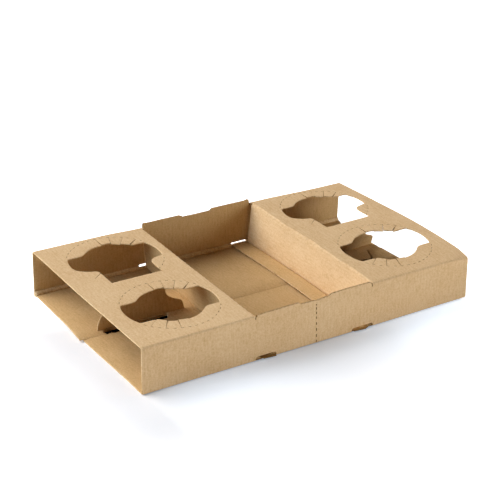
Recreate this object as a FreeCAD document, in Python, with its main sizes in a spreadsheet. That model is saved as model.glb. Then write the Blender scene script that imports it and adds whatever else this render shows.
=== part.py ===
import FreeCAD, Part
import math
import os
import Sketcher

# Cardboard cup carrier for four cups, one folded and glued blank of fine corrugated board.
# X runs along the sleeve, Y from the near wall to the far wall, Z up from the table.
# While it is built, the near lower left corner of the sleeve is at zero.
# The finished carrier is then set with its origin under the middle of its box.

NODE = "cup_carrier"

# Driving sizes in millimetres and degrees, each with what it measures.
SIZES = {
    "carrier_length": (305.0, "open end to open end"),
    "carrier_width": (180.0, "outside of near wall to outside of far wall"),
    "carrier_height": (38.5, "table to top of the decks"),
    "board": (1.5, "thickness of the corrugated board"),
    "fold_radius": (1.4, "outside radius of the four long folds"),
    "deck_length": (98.0, "length of each cup deck along the sleeve"),
    "partition_lean": (3.5, "how far a partition leans into the tray at its foot"),
    "partition_near_gap": (0.5, "partition to inside of near wall"),
    "near_strip_rise": (0.9, "near wall beside a partition, above the deck"),
    "near_middle_rise": (-0.7, "near wall at the middle of the tray, above the deck"),
    "far_strip_rise": (3.9, "far wall beside a partition, above the deck"),
    "far_middle_rise": (1.9, "far wall at the middle of the tray, above the deck"),
    "middle_length": (28.5, "length of the lowered stretch of wall"),
    "step_run": (1.8, "length of the sloped step at each end of that stretch"),
    "relief_cut": (3.0, "depth of the cut beside each deck corner"),
    "flange_width": (16.0, "partition foot to free edge of its flange"),
    "flange_clearance": (0.1, "flange above what lies under it"),
    "tongue_reach": (0.9, "flange end beyond the near wall"),
    "far_tongue_reach": (0.4, "flange end into the far wall"),
    "near_tongue_level": (0.15, "underside of flange end above the table, near side"),
    "nick_length": (2.2, "length of a torn bridge on the flange edge"),
    "nick_reach": (0.7, "how far that bridge stands out"),
    "nick_first": (79.0, "near wall to the first torn bridge"),
    "nick_pitch": (37.5, "from one torn bridge to the next"),
    "tongue_trim": (2.2, "how much narrower the flange ends are than the flange"),
    "slot_length": (19.2, "length of each flange slot at the foot of the walls"),
    "slot_height": (3.4, "height of each flange slot"),
    "slot_setback": (0.4, "start of the slot outside the deck edge"),
    "near_slot_top": (2.2, "top of the near slots above the table"),
    "far_slot_top": (4.3, "top of the far slots above the table"),
    "floor_relief": (4.6, "how far the near slots cut into the floor"),
    "lap_start": (91.0, "near wall to free edge of the upper floor panel"),
    "lap_width": (19.5, "width of the glued floor lap"),
    "lap_fade": (38.0, "run over which the upper panel comes down to the table"),
    "far_floor_overhang": (1.2, "upper floor panel beyond the left end"),
    "far_floor_short": (3.5, "upper floor panel short of the right end"),
    "far_bead": (2.4, "height of the crushed bead along the far lower fold"),
    "cup_place": (51.8, "left edge of a deck to its cup centres"),
    "near_cup_place": (48.7, "near wall to near cup centre"),
    "far_cup_place": (137.0, "near wall to far cup centre"),
    "cup_radius": (26.7, "round part of a cup hole"),
    "ring_radius": (38.6, "dashed crease around a cup hole"),
    "ear_radius": (38.0, "centre to the end of an ear"),
    "ear_rise": (15.9, "centre to the upper and lower edge of an ear"),
    "ear_fillet": (9.0, "round between an ear and the round part"),
    "fin_width": (45.0, "width of the fin where it folds down"),
    "fin_fold_place": (36.9, "far cup centre to the fold of the fin"),
    "fin_lean": (3.2, "how far the foot of the left fin stands to the near side"),
    "fin_clearance": (0.1, "foot of the left fin above the floor"),
    "fin_swing": (13.5, "how far the foot of the right fin stands to the far side"),
    "right_ear_drop": (12.2, "centre to lower edge of the right ear, far hole"),
    "left_ear_drop": (12.7, "centre to lower edge of the left ear, at the fin"),
    "left_ear_tip_drop": (5.6, "centre to lower edge of the left ear, at its tip"),
    "fin_fillet": (6.0, "round between the right ear and the side of the fin"),
    "slit_width": (0.4, "width of a knife slit"),
    "slit_first": (38.0, "angle of the first slit"),
    "slit_step": (17.0, "angle from one slit to the next"),
    "dash_length": (3.0, "length of a crease dash"),
    "dash_gap": (2.0, "board left between two dashes"),
    "dash_width": (0.35, "width of a crease dash"),
    "tear_width": (0.6, "width of a cut of the tear line"),
    "fin_slot_left": (34.8, "cup centre to left end of the fin slot"),
    "fin_slot_right": (23.2, "cup centre to right end of the fin slot"),
    "fin_slot_width": (5.6, "width of the fin slot in the floor"),
    "fin_slit_length": (12.5, "length of the slits beyond the ends of that slot"),
}

SLITS_IN_ARC = 4
LEFT_SLITS_FAR_HOLE = 1
NICKS = 3
# How far a cutting tool reaches past what it cuts.
SPARE = 2.0

doc = FreeCAD.newDocument("cup_carrier")
sheet = doc.addObject("Spreadsheet::Sheet", "sizes")
for row, (alias, (value, meaning)) in enumerate(SIZES.items(), start=1):
    sheet.set(f"A{row}", meaning)
    sheet.set(f"B{row}", str(value))
    sheet.setAlias(f"B{row}", alias)
doc.recompute()


def size(alias):
    """The present value of one driving size."""
    return float(sheet.get(alias))


def bind(thing, bindings):
    """Bind properties to formulas, where @ stands for the sheet of sizes."""
    for prop, formula in bindings.items():
        thing.setExpression(prop, str(formula).replace("@", "sizes."))
    return thing


def box(name, place, extent):
    """A block with its low corner at place, both given as three formulas."""
    thing = doc.addObject("Part::Box", name)
    return bind(thing, {
        "Placement.Base.x": place[0], "Placement.Base.y": place[1], "Placement.Base.z": place[2],
        "Length": extent[0], "Width": extent[1], "Height": extent[2],
    })


def cylinder(name, place, radius, height, axis="z"):
    """A cylinder that starts at place and runs along +x, +y or +z."""
    thing = doc.addObject("Part::Cylinder", name)
    turns = {
        "x": FreeCAD.Rotation(FreeCAD.Vector(0, 1, 0), 90),
        "y": FreeCAD.Rotation(FreeCAD.Vector(1, 0, 0), -90),
        "z": FreeCAD.Rotation(),
    }
    thing.Placement = FreeCAD.Placement(FreeCAD.Vector(), turns[axis])
    return bind(thing, {
        "Placement.Base.x": place[0], "Placement.Base.y": place[1], "Placement.Base.z": place[2],
        "Radius": radius, "Height": height,
    })


def spoke(name, centre, inner, outer, width, angle):
    """A block through the deck that lies along a radius of a cup hole."""
    thing = doc.addObject("Part::Box", name)
    thing.Placement = FreeCAD.Placement(
        FreeCAD.Vector(), FreeCAD.Rotation(FreeCAD.Vector(0, 0, 1), 1))
    return bind(thing, {
        "Placement.Rotation.Angle": angle,
        "Placement.Base.x": f"{centre[0]} + ({inner}) * cos({angle}) + ({width}) / 2 * sin({angle})",
        "Placement.Base.y": f"{centre[1]} + ({inner}) * sin({angle}) - ({width}) / 2 * cos({angle})",
        "Placement.Base.z": DECK_CUT_FOOT,
        "Length": f"({outer}) - ({inner})", "Width": width, "Height": DECK_CUT_HEIGHT,
    })


def combine(kind, name, first, second):
    """One boolean of two objects."""
    thing = doc.addObject(kind, name)
    thing.Base = first
    thing.Tool = second
    return thing


def cut(name, base, tool):
    """The base without the tool."""
    return combine("Part::Cut", name, base, tool)


def common(name, first, second):
    """What two objects share."""
    return combine("Part::Common", name, first, second)


def fuse(name, pieces):
    """Several objects as one."""
    thing = doc.addObject("Part::MultiFuse", name)
    thing.Shapes = pieces
    return thing


PLANES = {
    # Sketch x and y are carrier x and z, and the sheet grows to +Y.
    "side": FreeCAD.Rotation(FreeCAD.Vector(1, 0, 0), 90),
    # Sketch x and y are carrier y and z, and the sheet grows to +X.
    "end": FreeCAD.Rotation(0.5, 0.5, 0.5, 0.5),
    # Sketch x and y are carrier x and y, and the sheet grows to +Z.
    "top": FreeCAD.Rotation(),
}
GROWTH = {
    "side": FreeCAD.Vector(0, 1, 0),
    "end": FreeCAD.Vector(1, 0, 0),
    "top": FreeCAD.Vector(0, 0, 1),
}


def outline(name, plane, place, corners):
    """A closed sketch whose corners are each held by two formulas."""
    sketch = doc.addObject("Sketcher::SketchObject", name)
    sketch.Placement = FreeCAD.Placement(FreeCAD.Vector(), PLANES[plane])
    bind(sketch, {
        "Placement.Base.x": place[0], "Placement.Base.y": place[1], "Placement.Base.z": place[2],
    })
    count = len(corners)
    # A rough ring of lines, which the constraints then pull to their places.
    rough = [FreeCAD.Vector(100, 0, 0) for _ in corners]
    for index in range(count):
        turn = FreeCAD.Rotation(FreeCAD.Vector(0, 0, 1), 360.0 * index / count)
        rough[index] = turn.multVec(rough[index])
    for index in range(count):
        sketch.addGeometry(Part.LineSegment(rough[index], rough[(index + 1) % count]), False)
    for index in range(count):
        sketch.addConstraint(Sketcher.Constraint("Coincident", index, 2, (index + 1) % count, 1))
    for index, (across, up) in enumerate(corners):
        for kind, letter, formula, start in (
            ("DistanceX", "across", across, rough[index].x), ("DistanceY", "up", up, rough[index].y),
        ):
            number = sketch.addConstraint(Sketcher.Constraint(kind, -1, 1, index, 1, start))
            sketch.renameConstraint(number, f"{letter}_{index}")
            bind(sketch, {f"Constraints.{letter}_{index}": formula})
    return sketch


def plate(name, sketch, plane, thickness):
    """A sketch drawn out into a solid."""
    thing = doc.addObject("Part::Extrusion", name)
    thing.Base = sketch
    thing.DirMode = "Custom"
    thing.Dir = GROWTH[plane]
    thing.Solid = True
    return bind(thing, {"LengthFwd": thickness})


def prism(name, plane, place, corners, thickness):
    """A solid of constant section from its corners."""
    sketch = outline(f"{name}_outline", plane, place, corners)
    return plate(name, sketch, plane, thickness)


LENGTH = "@carrier_length"
WIDTH = "@carrier_width"
HEIGHT = "@carrier_height"
BOARD = "@board"
DECK = "@deck_length"
DECK_CUT_FOOT = f"{HEIGHT} - {BOARD} - {SPARE}"
DECK_CUT_HEIGHT = f"{BOARD} + 2 * {SPARE}"
# Left ends of the two decks along the sleeve.
DECK_STARTS = {"left": "0", "right": f"({LENGTH} - {DECK})"}


def rounded_block(name):
    """A block along the sleeve with its four long edges round."""
    radius = "@fold_radius"
    wide = box(f"{name}_wide", ("0", "0", radius), (LENGTH, WIDTH, f"{HEIGHT} - 2 * {radius}"))
    tall = box(f"{name}_tall", ("0", radius, "0"), (LENGTH, f"{WIDTH} - 2 * {radius}", HEIGHT))
    pieces = [wide, tall]
    for side, across in (("near", radius), ("far", f"{WIDTH} - {radius}")):
        for level, up in (("low", radius), ("high", f"{HEIGHT} - {radius}")):
            pieces.append(cylinder(f"{name}_{side}_{level}", ("0", across, up), radius, LENGTH, "x"))
    return fuse(name, pieces)


def sleeve():
    """Two walls and two decks, with the tray open at the top and the floor still to come."""
    outside = rounded_block("sleeve_outside")
    inside = box("sleeve_inside", (f"-{SPARE}", BOARD, BOARD),
                 (f"{LENGTH} + 2 * {SPARE}", f"{WIDTH} - 2 * {BOARD}", f"{HEIGHT} - 2 * {BOARD}"))
    tube = cut("sleeve_tube", outside, inside)
    tray = box("tray_mouth", (DECK, f"-{SPARE}", f"{HEIGHT} - @fold_radius - {BOARD}"),
               (f"{LENGTH} - 2 * {DECK}", f"{WIDTH} + 2 * {SPARE}",
                f"@fold_radius + {BOARD} + {SPARE}"))
    # The floor is two lapped panels, so the tube keeps its floor only at the two walls.
    floor = box("floor_room", (f"-{SPARE}", f"@fold_radius + {BOARD}", f"-{SPARE}"),
                (f"{LENGTH} + 2 * {SPARE}", f"{WIDTH} - 2 * (@fold_radius + {BOARD})",
                 f"{BOARD} + {SPARE}"))
    return cut("sleeve_open", cut("sleeve_tray", tube, tray), floor)


def wall_top(side, place, strip_rise, middle_rise):
    """The top of a wall along the tray: high beside each partition, lower at the middle."""
    foot = f"{HEIGHT} - @fold_radius - 2 * {BOARD}"
    high = f"{HEIGHT} + {strip_rise}"
    low = f"{HEIGHT} + {middle_rise}"
    middle = f"{LENGTH} / 2"
    low_half = "@middle_length / 2"
    corners = [
        (DECK, foot), (f"{LENGTH} - {DECK}", foot), (f"{LENGTH} - {DECK}", f"{HEIGHT} - @relief_cut / 2"),
        (f"{LENGTH} - {DECK} - @step_run", high), (f"{middle} + {low_half} + @step_run", high),
        (f"{middle} + {low_half}", low), (f"{middle} - {low_half}", low),
        (f"{middle} - {low_half} - @step_run", high), (f"{DECK} + @step_run", high),
        (DECK, f"{HEIGHT} - @relief_cut / 2"),
    ]
    return prism(f"{side}_wall_top", "side", ("0", place, "0"), corners, BOARD)


def floor_panels():
    """The near floor panel, and the far one that laps over it and comes down to the table."""
    near = box("near_floor", ("0", "@fold_radius", "0"),
               (LENGTH, "@lap_start + @lap_width - @fold_radius", BOARD))
    lap_end = "(@lap_start + @lap_width)"
    down = f"({lap_end} + @lap_fade)"
    corners = [
        ("@lap_start", BOARD), (lap_end, BOARD), (down, "0"), (f"{WIDTH} - @fold_radius", "0"),
        (f"{WIDTH} - @fold_radius", BOARD), (down, BOARD), (lap_end, f"2 * {BOARD}"),
        ("@lap_start", f"2 * {BOARD}"),
    ]
    far = prism("far_floor", "end", ("-@far_floor_overhang", "0", "0"), corners,
                f"{LENGTH} + @far_floor_overhang - @far_floor_short")
    inner = f"{WIDTH} - {BOARD}"
    bead_corners = [
        (f"{inner} - @far_bead", f"{BOARD} / 2"), (f"{inner} + {BOARD} / 2", f"{BOARD} / 2"),
        (f"{inner} + {BOARD} / 2", f"{BOARD} + @far_bead"), (inner, f"{BOARD} + @far_bead"),
        (f"{inner} - @far_bead", BOARD),
    ]
    bead = prism("far_fold_bead", "end", ("0", "0", "0"), bead_corners,
                 f"{LENGTH} - @far_floor_short")
    return [near, far, bead]


FLANGE_LEVEL = f"(2 * {BOARD} + @flange_clearance)"
FAR_TONGUE_LEVEL = f"({BOARD} + @flange_clearance)"
FLANGE_NEAR_TIP = "-@tongue_reach"
FLANGE_FAR_TIP = f"{WIDTH} - {BOARD} + @far_tongue_reach"


def flange_path(drop):
    """Corner formulas of the flange along Y, at its underside raised by a formula."""
    lap_end = "(@lap_start + @lap_width)"
    route = [
        (FLANGE_NEAR_TIP, "@near_tongue_level"), (BOARD, "@near_tongue_level"),
        ("@floor_relief", FAR_TONGUE_LEVEL), ("@lap_start * 2 / 3", FLANGE_LEVEL),
        (f"{lap_end} + {BOARD}", FLANGE_LEVEL), (f"{WIDTH} - 2 * {BOARD}", FAR_TONGUE_LEVEL),
        (FLANGE_FAR_TIP, FAR_TONGUE_LEVEL),
    ]
    return [(across, f"{up} + {drop}") for across, up in route]


def flange_end_trims(side, free_edge):
    """Blocks that narrow both ends of a flange, so that they pass through the wall slots."""
    low = f"{free_edge} - @tongue_trim"
    span = "2 * @tongue_trim"
    depth = f"4 * {BOARD}"
    near = box(f"{side}_near_trim", (low, f"{FLANGE_NEAR_TIP} - {SPARE}", f"-{SPARE}"),
               (span, f"@tongue_reach + @floor_relief + {SPARE}", f"{depth} + {SPARE}"))
    far = box(f"{side}_far_trim", (low, f"{WIDTH} - 2 * {BOARD} - @far_bead", f"-{SPARE}"),
              (span, f"2 * {BOARD} + @far_bead + @far_tongue_reach + {SPARE}", f"{depth} + {SPARE}"))
    return fuse(f"{side}_flange_trims", [near, far])


def partition(side):
    """A partition folded down from its deck, with its flange on the floor of the tray."""
    toward = {"left": 1, "right": -1}[side]
    edge = {"left": DECK, "right": f"({LENGTH} - {DECK})"}[side]
    foot = f"({edge} + {toward} * @partition_lean)"
    panel_corners = [
        (f"{edge} - {toward} * {BOARD}", HEIGHT), (edge, HEIGHT),
        (foot, "0"), (f"{foot} - {toward} * {BOARD}", "0"),
    ]
    near_edge = f"({BOARD} + @partition_near_gap)"
    panel = prism(f"{side}_partition_panel", "side", ("0", near_edge, "0"), panel_corners,
                  f"{WIDTH} - @far_strip_rise - {near_edge}")
    start = {"left": f"{foot} - {BOARD}", "right": f"{foot} - @flange_width"}[side]
    reach = f"@flange_width + {BOARD}"
    full_flange = prism(f"{side}_full_flange", "end", (start, "0", "0"),
                        flange_path("0") + flange_path(BOARD)[::-1], reach)
    free_edge = f"({foot} + {toward} * @flange_width)"
    flange = cut(f"{side}_flange", full_flange, flange_end_trims(side, free_edge))
    under = prism(f"{side}_flange_room", "end", (f"{start} - @partition_lean - {SPARE}", "0", "0"),
                  flange_path("0") + [(FLANGE_FAR_TIP, f"-{SPARE}"), (FLANGE_NEAR_TIP, f"-{SPARE}")],
                  f"{reach} + 2 * (@partition_lean + {SPARE})")
    standing = cut(f"{side}_partition_standing", panel, under)
    nicks = []
    for index in range(NICKS):
        across = f"@nick_first + {index} * @nick_pitch"
        nicks.append(box(f"{side}_nick_{index + 1}",
                         (f"{free_edge} - @nick_reach", f"{across} - @nick_length / 2", FAR_TONGUE_LEVEL),
                         ("2 * @nick_reach", "@nick_length", f"2 * {BOARD}")))
    band = prism(f"{side}_nick_band", "end", (f"{free_edge} - {SPARE}", "0", "0"),
                 flange_path("0") + flange_path(BOARD)[::-1], f"2 * {SPARE}")
    bridges = common(f"{side}_nicks", fuse(f"{side}_nick_row", nicks), band)
    return [standing, flange, bridges]


def flange_slots():
    """Rounded slots at the foot of both walls, where the flange ends pass through."""
    tools = []
    radius = "@slot_height / 2"
    through = f"{BOARD} + @far_bead + {SPARE}"
    walls = (
        ("near", f"-{SPARE}", "@near_slot_top"),
        ("far", f"{WIDTH} - {BOARD} - @far_bead", "@far_slot_top"),
    )
    begins = {
        "left": f"({DECK} - @slot_setback)",
        "right": f"({LENGTH} - {DECK} + @slot_setback - @slot_length)",
    }
    for side, begin in begins.items():
        for wall, place, top in walls:
            level = f"({top} - {radius})"
            tools.append(box(f"{side}_{wall}_slot_middle",
                             (f"{begin} + {radius}", place, f"{level} - {radius}"),
                             (f"@slot_length - 2 * {radius}", through, "@slot_height")))
            ends = {"left": f"{begin} + {radius}", "right": f"{begin} + @slot_length - {radius}"}
            for end, across in ends.items():
                tools.append(cylinder(f"{side}_{wall}_slot_{end}_end", (across, place, level),
                                      radius, through, "y"))
        tools.append(box(f"{side}_floor_relief", (begin, f"-{SPARE}", f"-{SPARE}"),
                         ("@slot_length", f"@floor_relief + {SPARE}", f"{BOARD} + {SPARE}")))
    return fuse("flange_slots", tools)


def corner_round(name, centre, right, upper):
    """Fills the corner between an ear edge and the round of a hole, leaving a round of its own."""
    circle, level, radius = "@cup_radius", "@ear_rise", "@ear_fillet"
    reach = f"({circle} + {radius})"
    rise = f"({level} + {radius})"
    out = f"sqrt({reach} * {reach} - {rise} * {rise})"
    touch_out = f"({out} * {circle} / {reach})"
    touch_up = f"({rise} * {circle} / {reach})"
    span = f"({out} - {touch_out})"
    lift = f"({touch_up} - {level} + {SPARE})"
    left_x = f"{centre[0]} + {touch_out}" if right else f"{centre[0]} - {out}"
    low_y = f"{centre[1]} + {level} - {SPARE}" if upper else f"{centre[1]} - {touch_up}"
    fill = box(f"{name}_fill", (left_x, low_y, DECK_CUT_FOOT), (span, lift, DECK_CUT_HEIGHT))
    middle_x = f"{centre[0]} + {out}" if right else f"{centre[0]} - {out}"
    middle_y = f"{centre[1]} + {rise}" if upper else f"{centre[1]} - {rise}"
    keep = cylinder(f"{name}_keep", (middle_x, middle_y, DECK_CUT_FOOT), radius, DECK_CUT_HEIGHT)
    return cut(name, fill, keep)


def dashes(name, centre, first, last):
    """Crease dashes along the ring from one angle to another."""
    pitch = math.degrees((size("dash_length") + size("dash_gap")) / size("ring_radius"))
    count = max(1, int((last - first) / pitch))
    pieces = []
    for index in range(count):
        angle = first + (last - first) * (index + 0.5) / count
        pieces.append(spoke(f"{name}_{index + 1}", centre, "@ring_radius - @dash_width / 2",
                            "@ring_radius + @dash_width / 2", "@dash_length", f"{angle:.3f}"))
    return pieces


def slits(name, centre, count, start):
    """Knife slits from a hole out to its ring, one step apart, counted from the start angle."""
    # A slit starts inside the opening, so that none ends short of the round.
    inside = f"@cup_radius - {SPARE}"
    pieces = []
    for index in range(count):
        angle = f"({start} + @slit_first + {index} * @slit_step)"
        pieces.append(spoke(f"{name}_{index + 1}", centre, inside, "@ring_radius", "@slit_width", angle))
    return pieces


# Angles between which the dashed crease shows above and below a cup hole.
RING_ABOVE = (27.0, 153.0)
RING_BELOW = (207.0, 333.0)
RING_BESIDE_FIN = (302.0, 338.0)


def near_hole(side, centre):
    """The near cup hole: a round opening with two ears and their slits and dashes."""
    name = f"{side}_near_hole"
    foot = (centre[0], centre[1], DECK_CUT_FOOT)
    middle = cylinder(f"{name}_round", foot, "@cup_radius", DECK_CUT_HEIGHT)
    band = box(f"{name}_band",
               (f"{centre[0]} - @ear_radius", f"{centre[1]} - @ear_rise", DECK_CUT_FOOT),
               ("2 * @ear_radius", "2 * @ear_rise", DECK_CUT_HEIGHT))
    reach = cylinder(f"{name}_reach", foot, "@ear_radius", DECK_CUT_HEIGHT)
    pieces = [middle, common(f"{name}_ears", band, reach)]
    for right in (False, True):
        for upper in (False, True):
            label = f"{name}_{'right' if right else 'left'}_{'upper' if upper else 'lower'}"
            pieces.append(corner_round(label, centre, right, upper))
    pieces += slits(f"{name}_slit_above", centre, SLITS_IN_ARC, "0")
    pieces += slits(f"{name}_slit_below", centre, SLITS_IN_ARC, "180")
    pieces += dashes(f"{name}_dash_above", centre, *RING_ABOVE)
    pieces += dashes(f"{name}_dash_below", centre, *RING_BELOW)
    return fuse(name, pieces)


def fin_corners(length):
    """Outline of the fin, measured from the middle of its fold, with y down the fin."""
    half = "@fin_width / 2"
    left_tip = "sqrt(@ear_radius * @ear_radius - @left_ear_tip_drop * @left_ear_tip_drop)"
    right_tip = "sqrt(@ear_radius * @ear_radius - @right_ear_drop * @right_ear_drop)"
    deep = "@fin_fold_place"
    return [
        (f"-{half}", "0"), (f"{half}", "0"),
        (half, f"{deep} - @right_ear_drop - @fin_fillet"),
        (f"{half} + @fin_fillet / 3", f"{deep} - @right_ear_drop - @fin_fillet / 3"),
        (f"{half} + @fin_fillet", f"{deep} - @right_ear_drop"),
        (right_tip, f"{deep} - @right_ear_drop"), ("@ear_radius", length),
        ("-@ear_radius", length), (f"-{left_tip}", f"{deep} - @left_ear_tip_drop"),
        (f"-({half} + @fin_fillet / 3)", f"{deep} - @left_ear_drop"),
        (f"-{half}", f"{deep} - @left_ear_drop - @fin_fillet * 2 / 3"),
    ]


def far_hole(side, centre):
    """The far cup hole: like the near one above, and below it the fin's opening."""
    name = f"{side}_far_hole"
    foot = (centre[0], centre[1], DECK_CUT_FOOT)
    left_foot = (f"{centre[0]} - @ear_radius", centre[1], DECK_CUT_FOOT)
    middle = cylinder(f"{name}_round", foot, "@cup_radius", DECK_CUT_HEIGHT)
    band = box(f"{name}_band", left_foot, ("2 * @ear_radius", "@ear_rise", DECK_CUT_HEIGHT))
    reach = cylinder(f"{name}_reach", foot, "@ear_radius", DECK_CUT_HEIGHT)
    above = box(f"{name}_above", left_foot, ("2 * @ear_radius", "@ear_radius", DECK_CUT_HEIGHT))
    pieces = [common(f"{name}_upper_round", middle, above), common(f"{name}_ears", band, reach)]
    for right in (False, True):
        label = f"{name}_{'right' if right else 'left'}_upper"
        pieces.append(corner_round(label, centre, right, True))
    pieces.append(prism(f"{name}_fin_opening", "top",
                        (centre[0], f"{centre[1]} - @fin_fold_place", DECK_CUT_FOOT),
                        fin_corners("@fin_fold_place"), DECK_CUT_HEIGHT))
    pieces += slits(f"{name}_slit_above", centre, SLITS_IN_ARC, "0")
    pieces += slits(f"{name}_slit_below", centre, LEFT_SLITS_FAR_HOLE, "180")
    pieces += dashes(f"{name}_dash_above", centre, *RING_ABOVE)
    pieces += dashes(f"{name}_dash_below", centre, *RING_BESIDE_FIN)
    return fuse(name, pieces)


def fin(side, centre):
    """The fin between the two cups of a deck: the left one stands on the floor, the right one hangs free."""
    fall = f"({HEIGHT} - 2 * {BOARD} - @fin_clearance)"
    length = f"sqrt({fall} * {fall} + @fin_lean * @fin_lean)"
    shift = {"left": "@fin_lean", "right": "-@fin_swing"}[side]
    sketch = outline(f"{side}_fin_outline", "top", ("0", "0", "0"), fin_corners(length))
    sketch.Placement = FreeCAD.Placement(
        FreeCAD.Vector(), FreeCAD.Rotation(FreeCAD.Vector(1, 0, 0), -90))
    bind(sketch, {
        "Placement.Base.x": centre[0], "Placement.Base.y": f"{centre[1]} - @fin_fold_place",
        "Placement.Base.z": HEIGHT,
        "Placement.Rotation.Angle": f"-(90 deg + asin({shift} / {length}))",
    })
    thing = doc.addObject("Part::Extrusion", f"{side}_fin")
    thing.Base = sketch
    thing.DirMode = "Normal"
    thing.Reversed = True
    thing.Solid = True
    return bind(thing, {"LengthFwd": BOARD})


def fin_slot(side, centre_x):
    """The slot and slits that the foot of the fin stands at, through both floor panels."""
    low = f"(@lap_start - {BOARD} / 2)"
    through = f"2 * {BOARD} + 2 * {SPARE}"
    tools = [box(f"{side}_fin_slot", (f"{centre_x} - @fin_slot_left", low, f"-{SPARE}"),
                 ("@fin_slot_left + @fin_slot_right", "@fin_slot_width", through))]
    ends = {
        "left": f"{centre_x} - @fin_slot_left",
        "right": f"{centre_x} + @fin_slot_right - @slit_width",
    }
    for end, across in ends.items():
        tools.append(box(f"{side}_fin_slit_{end}",
                         (across, f"{low} + @fin_slot_width / 2", f"-{SPARE}"),
                         ("@slit_width", "@fin_slot_width / 2 + @fin_slit_length", through)))
    return tools


def tear_line():
    """Upright cuts at the middle of the near wall, where the carrier tears in two."""
    pitch = size("dash_length") + size("dash_gap")
    room = size("carrier_height") + size("near_middle_rise")
    count = max(1, int(room / pitch))
    pieces = []
    for index in range(count):
        pieces.append(box(f"tear_cut_{index + 1}",
                          (f"{LENGTH} / 2 - @tear_width / 2", f"-{SPARE}",
                           f"{index} * (@dash_length + @dash_gap) + @dash_gap"),
                          ("@tear_width", f"{BOARD} + 2 * {SPARE}", "@dash_length")))
    return pieces


def build():
    """Joins the panels into one folded sheet and cuts everything that is cut in it."""
    panels = [
        sleeve(),
        wall_top("near", "0", "@near_strip_rise", "@near_middle_rise"),
        wall_top("far", f"{WIDTH} - {BOARD}", "@far_strip_rise", "@far_middle_rise"),
    ]
    panels += floor_panels()
    shell = fuse("shell", panels)
    cutters = [flange_slots()]
    hinged = []
    for side, start in DECK_STARTS.items():
        across = f"{start} + @cup_place"
        near_centre = (across, "@near_cup_place")
        far_centre = (across, "@far_cup_place")
        cutters += [near_hole(side, near_centre), far_hole(side, far_centre)]
        cutters += fin_slot(side, across)
        hinged.append(fin(side, far_centre))
        hinged += partition(side)
    cutters += tear_line()
    pierced = cut("pierced_shell", shell, fuse("cutters", cutters))
    return fuse(NODE, [pierced] + hinged)


carrier = build()
doc.recompute()

solid = carrier.Shape
bounds = solid.BoundBox
middle = FreeCAD.Vector(-bounds.Center.x, -bounds.Center.y, -bounds.ZMin)
node = doc.addObject("Part::Feature", f"{NODE}_placed")
node.Label = NODE
node.Shape = solid.Solids[0] if len(solid.Solids) == 1 else solid
node.Placement = FreeCAD.Placement(middle, FreeCAD.Rotation())
doc.recompute()

for thing in doc.Objects:
    if "Invalid" in thing.State or "Error" in thing.State:
        raise RuntimeError(f"{thing.Name} failed: {thing.State}")
if node.Shape.isNull() or not node.Shape.isValid():
    raise RuntimeError("the carrier is not a valid solid")
if len(node.Shape.Solids) != 1:
    raise RuntimeError(f"the carrier is {len(node.Shape.Solids)} solids, not one folded sheet")

os.makedirs("parts", exist_ok=True)
node.Shape.exportStep(os.path.join("parts", f"{NODE}.step"))
print(f"{NODE}: volume {node.Shape.Volume:.0f} mm3, box {node.Shape.BoundBox}")
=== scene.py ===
"""Cardboard cup carrier: one folded sheet of fine corrugated kraft board, dressed around its CAD frame.

The sheet is laid out flat as a blank, cut, folded and bent in millimetres. X runs along the sleeve,
Y from the near wall to the far wall and Z up, all measured from the near lower left corner.
"""
from __future__ import annotations

import logging
import math
from collections.abc import Callable
from dataclasses import dataclass, field
from enum import Enum

import bpy
import numpy as np
from mathutils import Matrix, Vector
from mathutils.geometry import delaunay_2d_cdt

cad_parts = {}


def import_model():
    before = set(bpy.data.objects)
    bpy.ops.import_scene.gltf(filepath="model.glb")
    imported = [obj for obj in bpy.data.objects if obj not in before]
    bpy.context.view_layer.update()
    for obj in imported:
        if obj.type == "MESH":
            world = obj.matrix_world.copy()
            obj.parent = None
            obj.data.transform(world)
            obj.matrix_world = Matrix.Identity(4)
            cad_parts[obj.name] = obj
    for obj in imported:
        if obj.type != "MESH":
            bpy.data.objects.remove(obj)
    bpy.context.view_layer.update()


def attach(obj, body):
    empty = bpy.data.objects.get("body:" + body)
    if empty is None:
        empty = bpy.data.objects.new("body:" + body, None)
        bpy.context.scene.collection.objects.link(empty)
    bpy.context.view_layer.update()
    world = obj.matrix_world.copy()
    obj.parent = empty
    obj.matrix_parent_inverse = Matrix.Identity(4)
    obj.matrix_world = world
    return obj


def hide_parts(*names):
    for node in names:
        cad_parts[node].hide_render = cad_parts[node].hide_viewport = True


LOG = logging.getLogger("cup_carrier")

Pair = tuple[float, float]
# Corners of a flat ring, in millimetres.
Ring = list[Pair]

MM = 0.001
# Middle of the carrier's box, measured from the near lower left corner, in millimetres.
FRAME_ORIGIN = np.array([151.9, 89.55, 0.0])
NODE = "cup_carrier"
BODY = "root"


class Face(Enum):
    """The kinds of surface on the board, in the order of the material slots."""

    OUTER = 0
    INNER = 1
    EDGE = 2
    # Knife cuts and slots are painted dark brown, a painted shade in the cut.
    CUT_SHADE = 3


class Flutes(Enum):
    """Which flat coordinate of a panel the flutes are counted along."""

    ALONG_FIRST = 0
    ALONG_SECOND = 1


@dataclass(frozen=True)
class Board:
    """Fine corrugated board, crushed thinner where it was die-cut, and open where its flutes show."""

    thickness: float = 1.5
    liner: float = 0.25
    flute_pitch: float = 3.56
    washboard: float = 0.0085
    edge_thickness: float = 1.0
    score_depth: float = 0.7
    edge_drop: float = 0.12
    edge_recess: float = 0.2
    open_recess: float = 2.8
    open_drop: float = 0.03


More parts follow.
